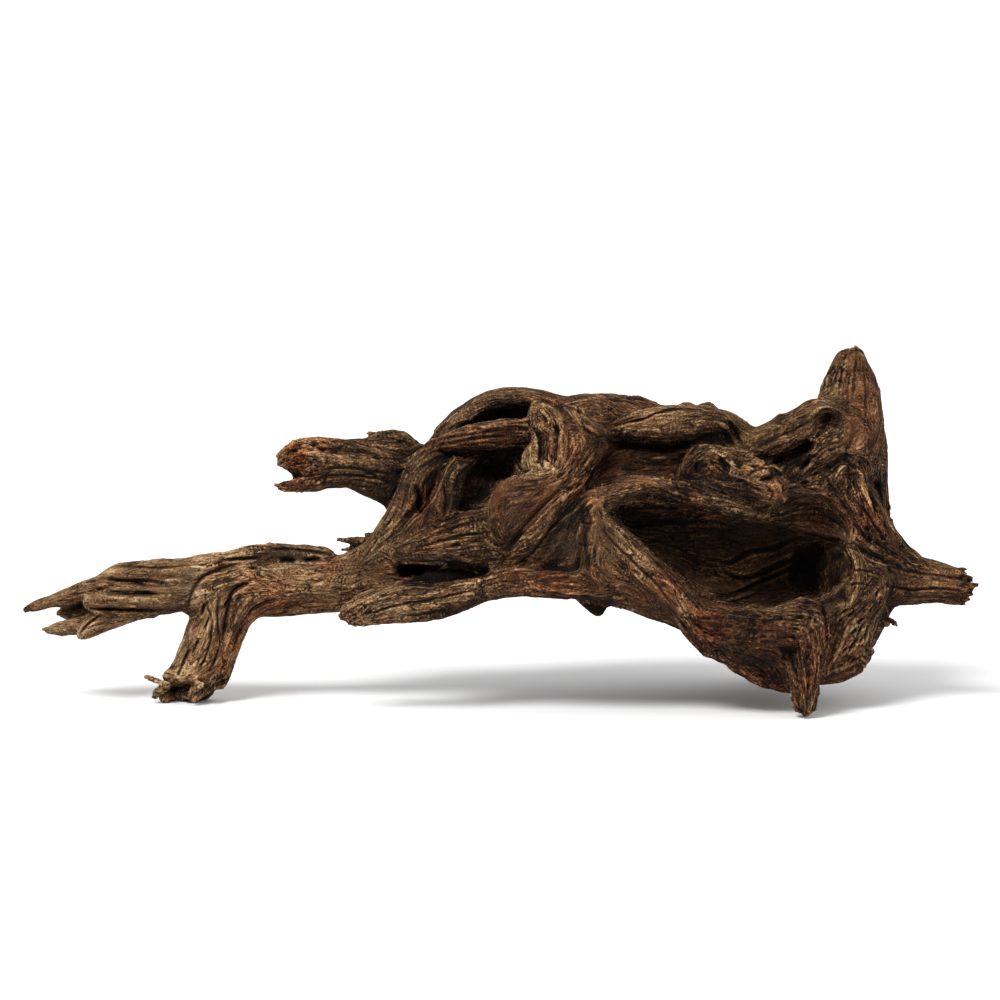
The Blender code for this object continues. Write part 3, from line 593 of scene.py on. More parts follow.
# Patches of another look: how much, softness of the edge in pixels, outline
paintedLightAndTonePatches = [  # lighter above zero, darker below: painted shade in slots, gaps and under ledges, painted highlights on lit faces, and the wood's own lighter and darker tone
    (-1.6, 3, gapUnderFlap),
    (-1.8, 3, throatSlot),
    (-1.4, 3, upperSlot),
    (-1.8, 3, [(165, 687), (176, 683), (188, 684), (192, 690), (184, 698), (168, 698)]),
    (-1.0, 4, [(152, 690), (160, 686), (168, 690), (170, 702), (154, 702)]),
    (-1.4, 4, [(204, 690), (222, 674), (230, 676), (216, 696), (204, 702)]),
    (-1.2, 4, [(586, 600), (612, 601), (608, 620), (588, 618)]),
    (-1.3, 4, [(494, 598), (540, 596), (588, 600), (588, 606), (494, 604)]),
    (-1.0, 4, [(412, 614), (440, 607), (482, 598), (484, 605), (440, 618), (420, 625)]),
    (-1.2, 3, [(604, 434), (640, 439), (668, 443), (700, 430), (700, 440), (670, 450), (612, 446)]),
    (-1.5, 3, [(695, 463), (702, 460), (707, 466), (705, 474), (698, 474)]),
    (-1.0, 3, [(720, 459), (727, 460), (729, 470), (724, 474), (721, 467)]),
    (0.9, 3, [(704, 452), (712, 449), (724, 451), (734, 460), (737, 474), (731, 474), (727, 462),
              (718, 456), (706, 457)]),
    (-0.6, 6, [(655, 484), (690, 488), (724, 498), (722, 508), (690, 504), (655, 492)]),
    (-1.6, 3, [(762, 475), (768, 474), (771, 479), (767, 483), (762, 480)]),
    (-0.9, 4, [(742, 486), (756, 484), (762, 494), (756, 504), (744, 500)]),
    (-1.2, 3, [(580, 502), (586, 504), (588, 530), (588, 566), (582, 566), (582, 530)]),
    (-0.9, 6, [(86, 612), (110, 611), (124, 614), (104, 620), (80, 618), (60, 620)]),
    (-1.1, 3, [(780, 648), (794, 650), (797, 672), (790, 668), (784, 656)]),
    (-0.8, 6, spikeCleft),
    (-1.3, 4, [(808, 550), (844, 554), (845, 600), (806, 602), (802, 580)]),
    (-1.1, 5, [(500, 598), (600, 599), (650, 612), (688, 640), (688, 652), (650, 628), (600, 612),
               (500, 608)]),
    (0.9, 5, [(582, 504), (592, 490), (620, 477), (650, 479), (668, 486), (662, 492), (648, 491),
              (622, 495), (598, 508)]),
    (-1.6, 3, [(660, 485), (686, 489), (690, 501), (662, 497)]),
    (-0.5, 4, [(676, 480), (702, 486), (704, 502), (682, 500)]),
    (-1.8, 4, [(786, 464), (800, 462), (803, 474), (788, 479)]),
    (-0.6, 6, [(318, 466), (400, 466), (404, 492), (330, 490)]),
    (0.4, 8, [(310, 438), (396, 440), (396, 461), (310, 461)]),
    (-0.6, 6, [(402, 502), (420, 480), (438, 476), (430, 510), (404, 535), (392, 538)]),
    (-0.5, 6, [(866, 440), (886, 440), (890, 490), (876, 500), (868, 468)]),
    (-0.15, 6, [(890, 560), (960, 570), (960, 585), (890, 583)]),
    (-0.4, 10, [(700, 606), (796, 612), (792, 680), (730, 664), (696, 640)]),
    (-0.37, 12, [(20, 590), (100, 560), (190, 558), (194, 612), (120, 626), (36, 642)]),
    (-0.9, 6, [(400, 574), (474, 576), (440, 590), (406, 588)]),
    (-0.35, 8, [(500, 574), (592, 574), (600, 592), (500, 590)]),
    (0.8, 4, [(626, 553), (640, 556), (672, 585), (697, 618), (684, 624), (655, 592)]),
    (-0.5, 10, [(676, 444), (745, 450), (782, 462), (784, 505), (720, 500), (680, 488)]),
    (-0.5, 12, [(786, 445), (850, 440), (846, 500), (786, 500)]),
    (-0.4, 14, [(390, 460), (470, 455), (470, 530), (400, 540)]),
    (-0.5, 12, [(826, 350), (876, 350), (880, 440), (840, 440)]),
    (-0.8, 6, [(250, 546), (335, 547), (334, 562), (250, 564)]),
    (0.35, 6, [(98, 566), (124, 562), (196, 560), (200, 574), (150, 576), (104, 576)]),
    (0.5, 12, [(240, 566), (330, 566), (360, 580), (330, 600), (250, 590)]),
    (-0.5, 8, [(494, 484), (520, 478), (556, 486), (530, 525), (506, 548), (492, 520)]),
    (-0.35, 14, [(710, 612), (796, 620), (790, 680), (730, 664)]),
    (-1.5, 3, gnarlCleft),
    (0.6, 4, [(528, 406), (550, 408), (561, 425), (560, 460), (548, 470), (520, 464), (520, 454),
              (552, 462), (553, 436), (546, 424), (530, 420)]),
    (0.55, 8, [(430, 440), (468, 402), (502, 388), (560, 392), (600, 400), (604, 420), (560, 480),
               (530, 540), (500, 540), (490, 500), (520, 470), (520, 412), (470, 412)]),
    (0.9, 8, [(838, 350), (866, 352), (880, 395), (878, 425), (858, 455), (842, 458), (830, 436),
              (848, 424), (846, 408), (834, 400), (824, 396)]),
    (0.6, 4, [(598, 508), (606, 508), (630, 534), (660, 562), (700, 612), (692, 618), (650, 574),
              (618, 544)]),
    (0.25, 5, [(585, 503), (628, 478), (662, 483), (700, 494), (720, 498), (720, 506), (680, 503),
               (630, 490), (590, 510)]),
    (0.8, 6, [(742, 466), (762, 460), (778, 476), (782, 498), (770, 504), (752, 492)]),
    (0.2, 10, [(846, 562), (880, 566), (930, 576), (978, 574), (976, 606), (880, 602), (850, 600)]),
    (0.4, 10, [(610, 426), (660, 412), (712, 412), (700, 432), (640, 438)]),
    (0.45, 12, [(345, 620), (350, 600), (400, 584), (480, 580), (480, 600), (420, 620)]),
    (0.3, 12, [(395, 552), (440, 525), (490, 512), (500, 540), (440, 560)]),
    (-0.7, 12, [(622, 500), (700, 512), (780, 516), (840, 520), (846, 600), (760, 606), (690, 590),
                (640, 545)]),
    (-0.5, 8, [(434, 449), (522, 450), (505, 478), (480, 512), (466, 498), (440, 470)]),
    (-0.35, 12, [(555, 508), (580, 500), (584, 560), (552, 560)]),
    (-0.6, 10, [(596, 440), (690, 446), (690, 486), (640, 482), (596, 496)]),
    (-0.5, 6, [(398, 560), (486, 562), (486, 580), (420, 586), (400, 582)]),
    (-0.4, 8, [(812, 408), (846, 412), (842, 438), (816, 432)]),
    (-0.5, 7, [(846, 455), (866, 452), (862, 495), (846, 492)]),
    (-0.35, 10, [(386, 466), (400, 470), (398, 500), (392, 520), (384, 500)]),
    (-0.6, 5, [(165, 690), (182, 683), (196, 681), (188, 694), (172, 699)]),
    (-0.95, 10, [(270, 430), (350, 428), (420, 436), (410, 500), (360, 500), (270, 492)]),
    (0.7, 8, [(272, 440), (300, 436), (326, 440), (322, 470), (300, 484), (276, 470)]),
    (-0.5, 8, [(684, 448), (716, 442), (740, 454), (736, 488), (700, 492), (682, 476)]),
    (-0.35, 8, [(690, 498), (745, 504), (745, 516), (690, 510)]),
    (-0.3, 14, [(380, 440), (480, 440), (480, 520), (400, 540), (376, 520)]),
    (-0.25, 16, [(700, 600), (880, 600), (870, 700), (720, 680)]),
    (0.9, 10, [(186, 600), (220, 580), (216, 640), (200, 680), (164, 684), (186, 640)]),
    (-0.5, 4, [(262, 548), (306, 548), (306, 559), (262, 559)]),
]
redPatches = [
    (0.35, 10, [(832, 350), (866, 350), (880, 400), (872, 440), (850, 450), (840, 410)]),
    (-0.25, 10, [(186, 604), (236, 586), (246, 612), (222, 694), (152, 704), (164, 680)]),
    (0.9, 4, [(286, 446), (297, 441), (306, 456), (304, 472), (296, 480), (290, 462)]),
    (0.5, 8, [(410, 452), (470, 426), (522, 420), (520, 444), (440, 450)]),
    (0.4, 8, [(488, 570), (540, 562), (592, 572), (600, 596), (540, 592), (494, 586)]),
    (0.25, 8, [(585, 570), (625, 560), (660, 600), (640, 612), (600, 606)]),
    (0.8, 10, [(688, 606), (722, 606), (730, 640), (700, 648)]),
    (0.5, 14, [(720, 618), (790, 618), (800, 650), (760, 680), (720, 660)]),
    (0.3, 8, [(856, 470), (872, 474), (896, 545), (880, 545), (862, 510)]),
    (0.3, 10, [(892, 560), (978, 570), (978, 608), (892, 604)]),
    (0.4, 12, [(800, 500), (845, 492), (860, 530), (815, 528)]),
    (0.3, 8, [(596, 440), (690, 444), (690, 486), (600, 486)]),
    (0.3, 8, [(742, 466), (762, 460), (778, 476), (782, 498), (752, 492)]),
    (0.35, 10, [(600, 400), (660, 400), (652, 420), (610, 430)]),
    (0.3, 10, [(490, 480), (560, 480), (530, 540), (495, 530)]),
    (-0.1, 20, [(10, 560), (240, 530), (350, 540), (460, 520), (480, 560), (470, 640), (330, 640),
                (230, 710), (140, 710), (150, 640), (20, 650)]),
    (0.6, 6, [(706, 458), (720, 456), (722, 474), (708, 474)]),
]
greyPatches = [
    (0.8, 8, [(556, 506), (580, 502), (582, 560), (552, 558)]),
    (0.8, 5, [(508, 492), (524, 492), (522, 508), (508, 508)]),
    (0.8, 8, [(864, 440), (886, 440), (890, 490), (872, 500), (866, 468)]),
    (0.7, 8, [(838, 625), (862, 625), (862, 648), (840, 650)]),
    (0.8, 8, [(180, 574), (202, 566), (196, 596), (182, 604)]),
    (0.6, 8, [(384, 466), (400, 470), (398, 500), (386, 500)]),
    (0.3, 12, [(826, 372), (842, 368), (844, 404), (830, 404)]),
    (0.5, 8, [(250, 548), (335, 550), (330, 564), (250, 562)]),
    (0.4, 10, [(890, 566), (960, 572), (960, 584), (890, 580)]),
]
smoothPatches = [
    (0.7, 14, [(15, 590), (90, 560), (190, 556), (196, 615), (130, 625), (30, 645)]),
    (0.4, 14, [(190, 570), (260, 560), (340, 560), (400, 560), (380, 600), (340, 612), (250, 612),
               (225, 670), (160, 690), (186, 620)]),
    (0.4, 10, [(830, 345), (870, 345), (892, 440), (850, 460), (840, 440)]),
    (0.7, 12, [(700, 612), (790, 622), (796, 680), (740, 670)]),
    (0.5, 12, [(598, 520), (650, 560), (690, 610), (660, 620), (600, 590)]),
    (0.4, 12, [(740, 425), (816, 405), (826, 425), (760, 460)]),
    (0.6, 12, [(880, 566), (980, 570), (980, 606), (880, 600)]),
    (0.15, 12, [(300, 440), (400, 440), (400, 500), (300, 490)]),
    (0.35, 10, [(590, 505), (616, 530), (606, 590), (590, 590)]),
    (0.4, 8, [(740, 462), (782, 462), (784, 506), (744, 506)]),
    (0.9, 8, [(490, 484), (520, 478), (556, 486), (530, 525), (506, 548), (490, 520)]),
    (0.7, 10, [(560, 410), (600, 405), (606, 430), (590, 450), (560, 480), (556, 440)]),
    (0.7, 10, [(530, 560), (562, 502), (600, 480), (606, 500), (590, 560)]),
    (0.85, 12, [(628, 508), (720, 515), (790, 522), (846, 536), (842, 600), (760, 604), (700, 598),
                (655, 562)]),
    (0.75, 10, [(590, 444), (690, 448), (690, 484), (600, 488)]),
    (0.6, 8, [(105, 566), (180, 562), (184, 576), (110, 578)]),
    (1.1, 4, [(262, 546), (306, 546), (306, 559), (262, 559)]),
    (0.6, 4, [(90, 597), (156, 597), (156, 606), (90, 606)]),
    (0.5, 8, [(850, 352), (866, 356), (872, 400), (862, 440), (850, 440)]),
]
crumbPatches = [
    (0.8, 5, [(822, 350), (842, 344), (836, 380), (826, 400), (800, 410), (806, 390)]),
    (0.7, 8, [(584, 496), (628, 480), (662, 484), (704, 497), (700, 504), (640, 494), (592, 508)]),
    (0.9, 8, [(290, 440), (326, 440), (326, 482), (296, 486), (284, 466)]),
    (0.9, 8, [(338, 600), (372, 600), (374, 628), (338, 628)]),
    (0.7, 10, [(686, 604), (800, 612), (880, 610), (872, 660), (800, 690), (740, 676), (692, 650)]),
    (0.6, 8, [(528, 400), (566, 402), (566, 470), (528, 470)]),
    (0.4, 8, [(250, 545), (335, 546), (332, 566), (250, 564)]),
    (0.5, 10, [(800, 420), (850, 420), (850, 500), (800, 500)]),
    (0.4, 10, [(560, 396), (612, 398), (610, 432), (566, 436)]),
]
patches = {"light": paintedLightAndTonePatches, "red": redPatches, "grey": greyPatches,
           "smooth": smoothPatches, "crumbs": crumbPatches}

# Ends that broke off jagged: where the end is, the way it points, how far back the breaks
# reach and how wide the splinters are, all in the drawing's millimetres
breaks = [
    ((238, -8, 64), (1, 0, -0.05), 5, 3.0),
    ((-82, -40, 50), (-1, 0, -0.2), 4, 3.4),
    ((177, 0, 187), (0.1, 0, 1), 3, 3.2),
]

# How the breaks wander, in millimetres, and from where to where they deepen, in their reach
jagged = {"around": 30, "wander": 0.7, "wanderSize": 6, "seed": 70, "apart": 11.5,
          "begins": 2.2, "whole": 0.2}

# Thin splinters that stick out, and a panel that closes a gap: view point, depth and half
# width of each station
splinters = [
    [(576, 496, -46, 12), (566, 520, -46, 20), (554, 545, -45, 22), (534, 566, -42, 14)],
    [(588, 512, -50, 12), (582, 535, -50, 18), (574, 555, -48, 18), (562, 574, -46, 12)],
    [(556, 514, -46, 10), (540, 530, -44, 11), (524, 544, -41, 11), (510, 556, -38, 9)],
    [(553, 508, -59.5, 4), (540, 525, -58.5, 8), (529, 538, -54, 10), (516, 551, -47, 10),
     (502, 563, -40, 8)],
    [(799, 672, -46, 14), (801, 688, -45, 16), (802, 700, -44.5, 14), (803, 711, -44, 11)],
    [(858, 378, -8, 14), (861, 400, -14, 18), (860, 425, -22, 20), (855, 447, -28, 16),
     (849, 468, -31, 8)],
    [(676, 410, -38, 3.0), (686, 407, -38, 3.2), (694, 410, -38, 3.0)],
    [(698, 409, -38, 3.0), (707, 406, -38, 3.4), (714, 411, -38, 3.0)],
    [(774, 421, -34, 3.0), (779, 416, -34, 2.2), (784, 418, -34, 2.4)],
    [(832, 382, -6, 4.0), (837, 366, -6, 4.4), (844, 354, -6, 4.0), (850, 350, -6, 3.6)],
    [(170, 686, -4, 2.6), (158, 681, -4, 2.2), (145, 676, -4, 1.4)],
    [(396, 544, 4, 5.6), (370, 542, 6, 5.2), (352, 541, 8, 4.2), (336, 539, 9, 2.0)],
    [(384, 549, 6, 5.0), (364, 549, 7, 4.4), (340, 550, 8, 2.0)],
    [(306, 484, -13, 2.4), (290, 486, -14, 2.0), (275, 485, -14, 1.0)],
    [(388, 438, 2, 3.0), (376, 435, 2, 2.6), (367, 433, 1, 1.3)],
    [(876, 614, -12, 2.6), (886, 618, -12, 1.8), (896, 625, -12, 1.0)],
    [(956, 570, -10, 2.6), (966, 571, -10, 2.2), (975, 574, -10, 1.2)],
    [(952, 586, -6, 5.0), (966, 585, -6, 4.4), (979, 585, -6, 2.6)],
    [(952, 601, -6, 4.0), (964, 603, -6, 3.2), (973, 605, -6, 1.8)],
    [(264, 549, 0, 2.8), (270, 546, 0, 3.0), (277, 549, 0, 2.4)],
    [(98, 612, 5, 5.0), (80, 614, 6, 4.6), (66, 614, 7, 3.8), (57, 613, 7, 2.2)],
    [(60, 599, 3, 5.6), (44, 602, 3, 5.6), (33, 606, 3, 4.6), (23, 611, 3, 2.8)],
    [(66, 628, 0, 4.0), (52, 629, 0, 3.0), (42, 629, 0, 1.5)],
    [(888, 496, 4, 1.8), (892, 505, 4, 1.7), (894, 510, 4, 1.0)],
    [(167, 686, 0, 3.8), (162, 689, -1, 3.4), (157, 693, -1, 2.8), (155, 697, -1, 1.8)],
    [(188, 686, -6, 3.2), (183, 693, -7, 2.8), (179, 700, -7, 1.6)],
    [(168, 692, 2, 3.0), (166, 698, 1, 2.6), (165, 704, 1, 1.6)],
    [(201, 682, -8, 5.0), (197, 692, -8, 4.4), (194, 702, -8, 2.8)],
    [(214, 680, -6, 4.0), (212, 688, -6, 3.4), (214, 694, -6, 1.8)],
]


def profileOf(far, width):
    r = np.clip(far / width, 0, 1)
    return (1 - r * r) ** 2


def endsOf(share):
    # a line fades over the first and last 0.3 of its length
    return smoothStep(np.minimum(share, 1 - share), 0, 0.3)


fullGrooveShade = 2.2  # depth in millimetres from which a groove's painted shade is full
stepEdge = 1.6  # width in pixels of a step's steep side
ragged = 0.8  # how uneven the patches are


def drawnLines(lines, seen, grooveShade):
    # how far each point of the skin comes out along the drawn lines
    out = np.zeros(len(grooveShade))
    for width, height, line in lines:
        line = curveThrough(line)
        near = seen.near(line, width)
        far, share, _ = alongLine(seen.across[near], seen.down[near], line)
        amount = profileOf(far, width) * endsOf(share) * seen.clear[near]
        out[near] += height * amount
        # grooves also get painted shade, the fuller the deeper they are
        if height < 0:
            grooveShade[near] = np.maximum(grooveShade[near], amount * min(1, -height / fullGrooveShade))
    return out


def drawnSteps(seen, count, widthShare=1.0, heightShare=1.0):
    out = np.zeros(count)
    for width, height, line in steps:
        width = width * widthShare
        height = height * heightShare
        line = curveThrough(line)
        near = seen.near(line, width)
        far, along, side = alongLine(seen.across[near], seen.down[near], line)
        slope = np.where(side > 0, 1 - far / width, 1 - far / stepEdge)
        out[near] += height * np.clip(slope, 0, 1) ** 1.3 * endsOf(along) * seen.clear[near]
    return out


def insideOf(outline, soft, seen):
    # points within an outline on the view, with a share that fades across its edge
    corners = np.array(outline, float)
    near = seen.near(corners, soft)
    across = seen.across[near]
    down = seen.down[near]
    inside = np.zeros(len(near), bool)
    for (x0, y0), (x1, y1) in zip(corners, np.roll(corners, -1, axis=0)):
        crosses = (y0 > down) != (y1 > down)
        reach = (down - y0) / (y1 - y0 + 1e-9) * (x1 - x0) + x0
        inside ^= crosses & (across < reach)
    far, _, _ = alongLine(across, down, np.vstack([corners, corners[:1]]))
    return near, smoothStep(np.where(inside, far, -far), -soft, soft) * seen.clear[near]


def drawnDents(seen, count):
    out = np.zeros(count)
    for deep, soft, outline in dents:
        near, share = insideOf(outline, soft, seen)
        out[near] -= deep * share
    return out


def patchesOn(points, seen):
    found = {look: np.zeros(len(points)) for look in patches}
    uneven = 1 + ragged * cloudy(points, "ragged")
    for look, drawn in patches.items():
        for amount, soft, outline in drawn:
            near, share = insideOf(outline, soft, seen)
            found[look][near] += amount * np.clip(share * uneven[near], 0, 1)
    return found


def chanceOf(cells):
    # a share from 0 to 1 for each cell, scattered but the same at every run
    mixed = np.sin(cells @ np.array([12.99, 78.23, 37.72])) * 43758.5
    return mixed - np.floor(mixed)


def brokenBack(points):
    # each cell of a broken end's cross section is drawn back by its own length
    drawn = toDrawing(points)
    back = np.zeros((len(points), 3))
    for number, (end, way, length, width) in enumerate(breaks):
        way = unit(np.array(way, float))
        apart = drawn - np.array(end)
        ahead = apart @ way
        close = np.linalg.norm(apart, axis=1) < jagged["around"]
        near = np.nonzero(close & (ahead > -jagged["begins"] * length))[0]
        across = apart[near] - ahead[near, None] * way
        bent = [Noise(jagged["seed"] + k).at(across / jagged["wanderSize"]) for k in range(3)]
        place = across + jagged["wander"] * np.stack(bent, axis=1)
        cells = np.floor(place / width + jagged["apart"] * number).astype(int)
        share = smoothStep(ahead[near], -jagged["begins"] * length, -jagged["whole"] * length)
        back[near] -= way * (length * chanceOf(cells) * share)[:, None]
    return points + turnedToWorld(back)


def nudged(points):
    # moves whole parts of the form a little, to follow the outline
    drawn = toDrawing(points)
    moved = np.zeros((len(points), 3))
    for (x, y, depth), reach, way in nudges:
        far = np.linalg.norm(drawn - fromView(x, y, depth), axis=1) / reach
        share = np.clip(1 - far**2, 0, 1) ** 2
        moved += share[:, None] * np.array(way)
    return points + turnedToWorld(moved)


def splinterShapes(count):
    # thin tapered tubes, given as more points and faces for the skin
    allPoints = []
    allFaces = []
    for stations in splinters:
        across, down, depth, halfWidth = curveThrough(stations).T
        radius = halfWidth / view["scale"]
        spine = fromDrawing(fromView(across, down, depth))
        way = unit(np.gradient(spine, axis=0))
        side = unit(np.cross(way, [0, 1, 0]))
        other = np.cross(way, side)
        ring = 8
        for k, centre in enumerate(spine):
            for angle in np.arange(ring) * 2 * math.pi / ring:
                turn = side[k] * math.cos(angle) + other[k] * math.sin(angle)
                allPoints.append(centre + turn * radius[k])
        allPoints.extend([spine[0], spine[-1]])
        last = count + ring * (len(spine) - 1)
        for a in range(ring):
            b = (a + 1) % ring
            for start in range(count, last, ring):
                allFaces.append((start + a, start + b, start + ring + b))
                allFaces.append((start + a, start + ring + b, start + ring + a))
            allFaces.append((count + b, count + a, last + ring))
            allFaces.append((last + a, last + b, last + ring + 1))
        count = last + ring + 2
    return np.array(allPoints), np.array(allFaces)


# The grain


# Relief that runs along the grain: size across and how far it runs, in millimetres
grain = {
    "spread": 30,  # rounds of smoothing of the grain's direction
    "alongLength": 0.0015,  # how much the grain prefers the wood's length
    "onBranch": {"more": 0.04, "left": (74, 86), "above": (52, 66)},  # the long branch
    "step": 2.0,
    "seed": 20,
    "warp": {"size": 17.0, "by": 2.6, "seed": 40},  # makes the strands wander
    "bundles": {"size": 9.5, "reach": 40},
    "strands": {"size": 4.0, "reach": 20},
    "fibres": {"size": 1.7, "reach": 12},
    "chips": {"size": 2.6, "reach": 5},
}

pairs = [(0, 0), (0, 1), (0, 2), (1, 1), (1, 2), (2, 2)]  # entries of a symmetric matrix


def grainOf(points, normals, links):
    # the grain runs the way in which the skin turns least
    turn = normals[links.end] - normals[links.start]
    apart = ((points[links.end] - points[links.start]) ** 2).sum(axis=1)
    bend = np.stack([links.total(turn[:, a] * turn[:, b] / apart) for a, b in pairs], axis=1)
    bend = bend * links.share[:, None]
    bend = softened(bend, links, grain["spread"])
    whole = np.empty((len(points), 3, 3))
    for k, (a, b) in enumerate(pairs):
        whole[:, a, b] = bend[:, k]
        whole[:, b, a] = bend[:, k]
    branch = grain["onBranch"]
    share = smoothStep(-points[:, 0], *branch["left"]) * smoothStep(points[:, 2], *branch["above"])
    along = grain["alongLength"] + branch["more"] * share
    whole[:, 1, 1] += along
    whole[:, 2, 2] += along
    whole += 10 * normals[:, :, None] * normals[:, None, :]
    return np.linalg.eigh(whole)[1][:, :, 0]


def evenWays(ways, links, rounds):
    # smooths directions whose sign means nothing
    squares = np.stack([ways[:, a] * ways[:, b] for a, b in pairs], axis=1)
    xx, xy, xz, yy, yz, zz = softened(squares, links, rounds).T
    for _ in range(5):
        x, y, z = ways.T
        ways = unit(np.stack([xx * x + xy * y + xz * z, xy * x + yy * y + yz * z,
                              xz * x + yz * y + zz * z], axis=1))
    return ways


def streaksOf(points, normals, ways):
    # noise drawn out along the grain, for each size of relief
    grid = NearGrid(points)
    names = ("bundles", "strands", "fibres", "chips")
    sizes = [grain[name] for name in names]
    chances = [Noise(grain["seed"] + k) for k in range(len(names))]
    warp = grain["warp"]
    warps = [Noise(warp["seed"] + k) for k in range(3)]
    sums = [np.zeros(len(points)) for _ in sizes]
    hops = int(max(size["reach"] for size in sizes) / grain["step"])
    for sense in (1, -1):
        here = points.copy()
        heading = ways * sense
        at = np.arange(len(points))
        for hop in range(hops):
            if hop or sense == 1:
                bent = [chance.at(here / warp["size"]) for chance in warps]
                place = here + warp["by"] * np.stack(bent, axis=1)
                for k, size in enumerate(sizes):
                    t = hop * grain["step"] / size["reach"]
                    if t < 1:
                        share = 0.5 + 0.5 * math.cos(math.pi * t)
                        sums[k] += share * chances[k].at(place / size["size"])
            here = here + heading * grain["step"]
            at = grid.find(here, at)
            here = here - normals[at] * dot(here - points[at], normals[at])[:, None]
            turned = ways[at] * np.sign(dot(ways[at], heading) + 1e-9)[:, None]
            heading = unit(0.5 * heading + 0.5 * turned)
    return {name: total / total.std() for name, total in zip(names, sums)}


# Heights of the relief in millimetres
relief = {
    "bundles": 0.45,
    "layers": 0.3,
    "strands": 0.5,
    "fibres": 0.5,
    "chips": 0.4,
    "lumps": 0.6,
    "crumbs": 1.0,
    "grit": 0.12,
    "smoothed": 0.65,  # share that goes where the wood is smooth
    "atTip": 0.45,  # share that the thin left end keeps
    "tip": (-200, -110),  # where that end is
}

# Small holes where the wood has rotted, drawn out along the grain
pits = {"seed": 11, "count": 900, "size": (0.7, 1.5), "depth": 1.2, "length": 2.2}

# Turns the fine noise out of line with the axes
turnedGrit = np.array([[0.36, 0.48, -0.8], [-0.8, 0.6, 0.0], [0.48, 0.64, 0.6]])


def sharpValleys(values):
    return np.clip(np.abs(values), 0, 1.5) ** 0.75 - 0.8


def sharpRidges(values):
    return 0.7 - np.clip(np.abs(values), 0, 1.4) ** 0.8


def layered(values):
    # broken layers: flat, then a sharp step to the next
    whole = np.floor(values)
    return whole + smoothStep(values - whole, 0.72, 1.0)


def pitsIn(points, ways, rough):
    chance = np.random.default_rng(pits["seed"])
    push = np.zeros(len(points))
    middles = chance.choice(len(points), pits["count"], p=rough / rough.sum())
    order = np.argsort(points[:, 0])
    along = points[order, 0]
    for middle in middles:
        size = chance.uniform(*pits["size"])
        place = points[middle]
        reach = pits["length"] * size
        first, last = np.searchsorted(along, [place[0] - reach, place[0] + reach])
        near = order[first:last]
        apart = points[near] - place
        length = apart @ ways[middle]
        across = np.sqrt(np.maximum(dot(apart, apart) - length**2, 0))
        far = np.hypot(across, length / pits["length"]) / size
        near = near[far < 1]
        deep = pits["depth"] * size * (1 - far[far < 1] ** 2) ** 1.5
        push[near] = np.minimum(push[near], -deep)
    return push


# Building the skin


def formSkin():
    points, faces = remeshed(*solidsAsOne(), skin["formVoxel"])
    links = Links(faces, len(points))
    points = relaxed(points, links, skin["formSmoothing"])
    points = points - normalsOf(points, faces) * skin["overlap"]
    seen = Seen(points, normalsOf(points, faces))
    out = drawnLines(folds, seen, np.zeros(len(points)))
    out += drawnSteps(seen, len(points)) + drawnDents(seen, len(points))
    report(f"form of {len(points)} points")
    return nudged(points - out[:, None] * away), faces


# Rays that find how much light reaches each point, for the painted shade
openness = {"seed": 3, "rays": 10, "reach": 45.0, "start": 0.8, "upright": 1.05}


def opennessOf(points, faces, normals):
    # share of the light that reaches each point from around it
    tree = BVHTree.FromPolygons(points.tolist(), faces.tolist())
    chance = np.random.default_rng(openness["seed"])
    rays = unit(chance.normal(size=(openness["rays"], 3)))
    free = np.zeros(len(points))
    for k, normal in enumerate(normals):
        start = Vector(points[k] + openness["start"] * normal)
        for ray in rays:
            way = normal * openness["upright"] + ray
            if tree.ray_cast(start, Vector(way), openness["reach"])[0] is None:
                free[k] += 1
    return free / len(rays)


def fineSkin(points, faces):
    links = Links(faces, len(points))
    normals = normalsOf(points, faces)
    ways = grainOf(points, unit(softened(normals, links, rounds=2)), links)
    free = softened(opennessOf(points, faces, normals), links, rounds=3)
    report("light found")
    near = NearGrid(points, cell=1.8, rounds=14)
    thin, thinFaces = splinterShapes(len(points))
    halves = np.vstack([faces[:, [0, 1, 2]], faces[:, [0, 2, 3]], thinFaces])
    fine, fineFaces = remeshed(np.vstack([points, thin]), halves, skin["fineVoxel"])
    links = Links(fineFaces, len(fine))
    fine = relaxed(fine, links, skin["fineSmoothing"])
    normals = normalsOf(fine, fineFaces)
    source = near.find(fine, np.zeros(len(fine), int))
    ways = evenWays(ways[source], links, rounds=12)
    ways = unit(ways - normals * dot(ways, normals)[:, None])
    free = softened(free[source], links, rounds=2)
    report(f"skin of {len(fine)} points")
    return fine, fineFaces, links, normals, ways, free


def reliefOf(points, ways, looks):
    # height of the surface over the smooth skin, in millimetres
    rough = np.clip(0.5 + 0.9 * cloudy(points, "rough"), 0, 1)
    torn = np.clip(0.5 + 1.1 * cloudy(points, "torn"), 0, 1)
    push = relief["bundles"] * looks["bundles"]
    push += relief["layers"] * layered(1.1 * looks["bundles"] + 0.25 * looks["chips"]) * torn
    strands = torn * sharpRidges(looks["strands"]) + (1 - torn) * sharpValleys(looks["strands"])
    push += relief["strands"] * strands * (0.5 + 0.5 * rough)
    push += relief["fibres"] * sharpValleys(looks["fibres"]) * (0.6 + 0.4 * torn)
    push += relief["chips"] * smoothStep(looks["chips"], 0.1, 0.4) * rough
    push += relief["lumps"] * cloudy(points, "lumps") * rough
    push += relief["crumbs"] * cloudy(points, "crumbs") * looks["crumbs"]
    push += relief["grit"] * cloudy(points @ turnedGrit, "grit")
    push += pitsIn(points, ways, rough**3 + looks["crumbs"])
    thick = relief["atTip"] + (1 - relief["atTip"]) * smoothStep(points[:, 0], *relief["tip"])
    return push * thick * (1 - relief["smoothed"] * looks["smooth"])


# What is drawn once more into the finished skin: share of its width and of its height
again = {"creases": (0.45, 0.3), "steps": (0.35, 0.4)}
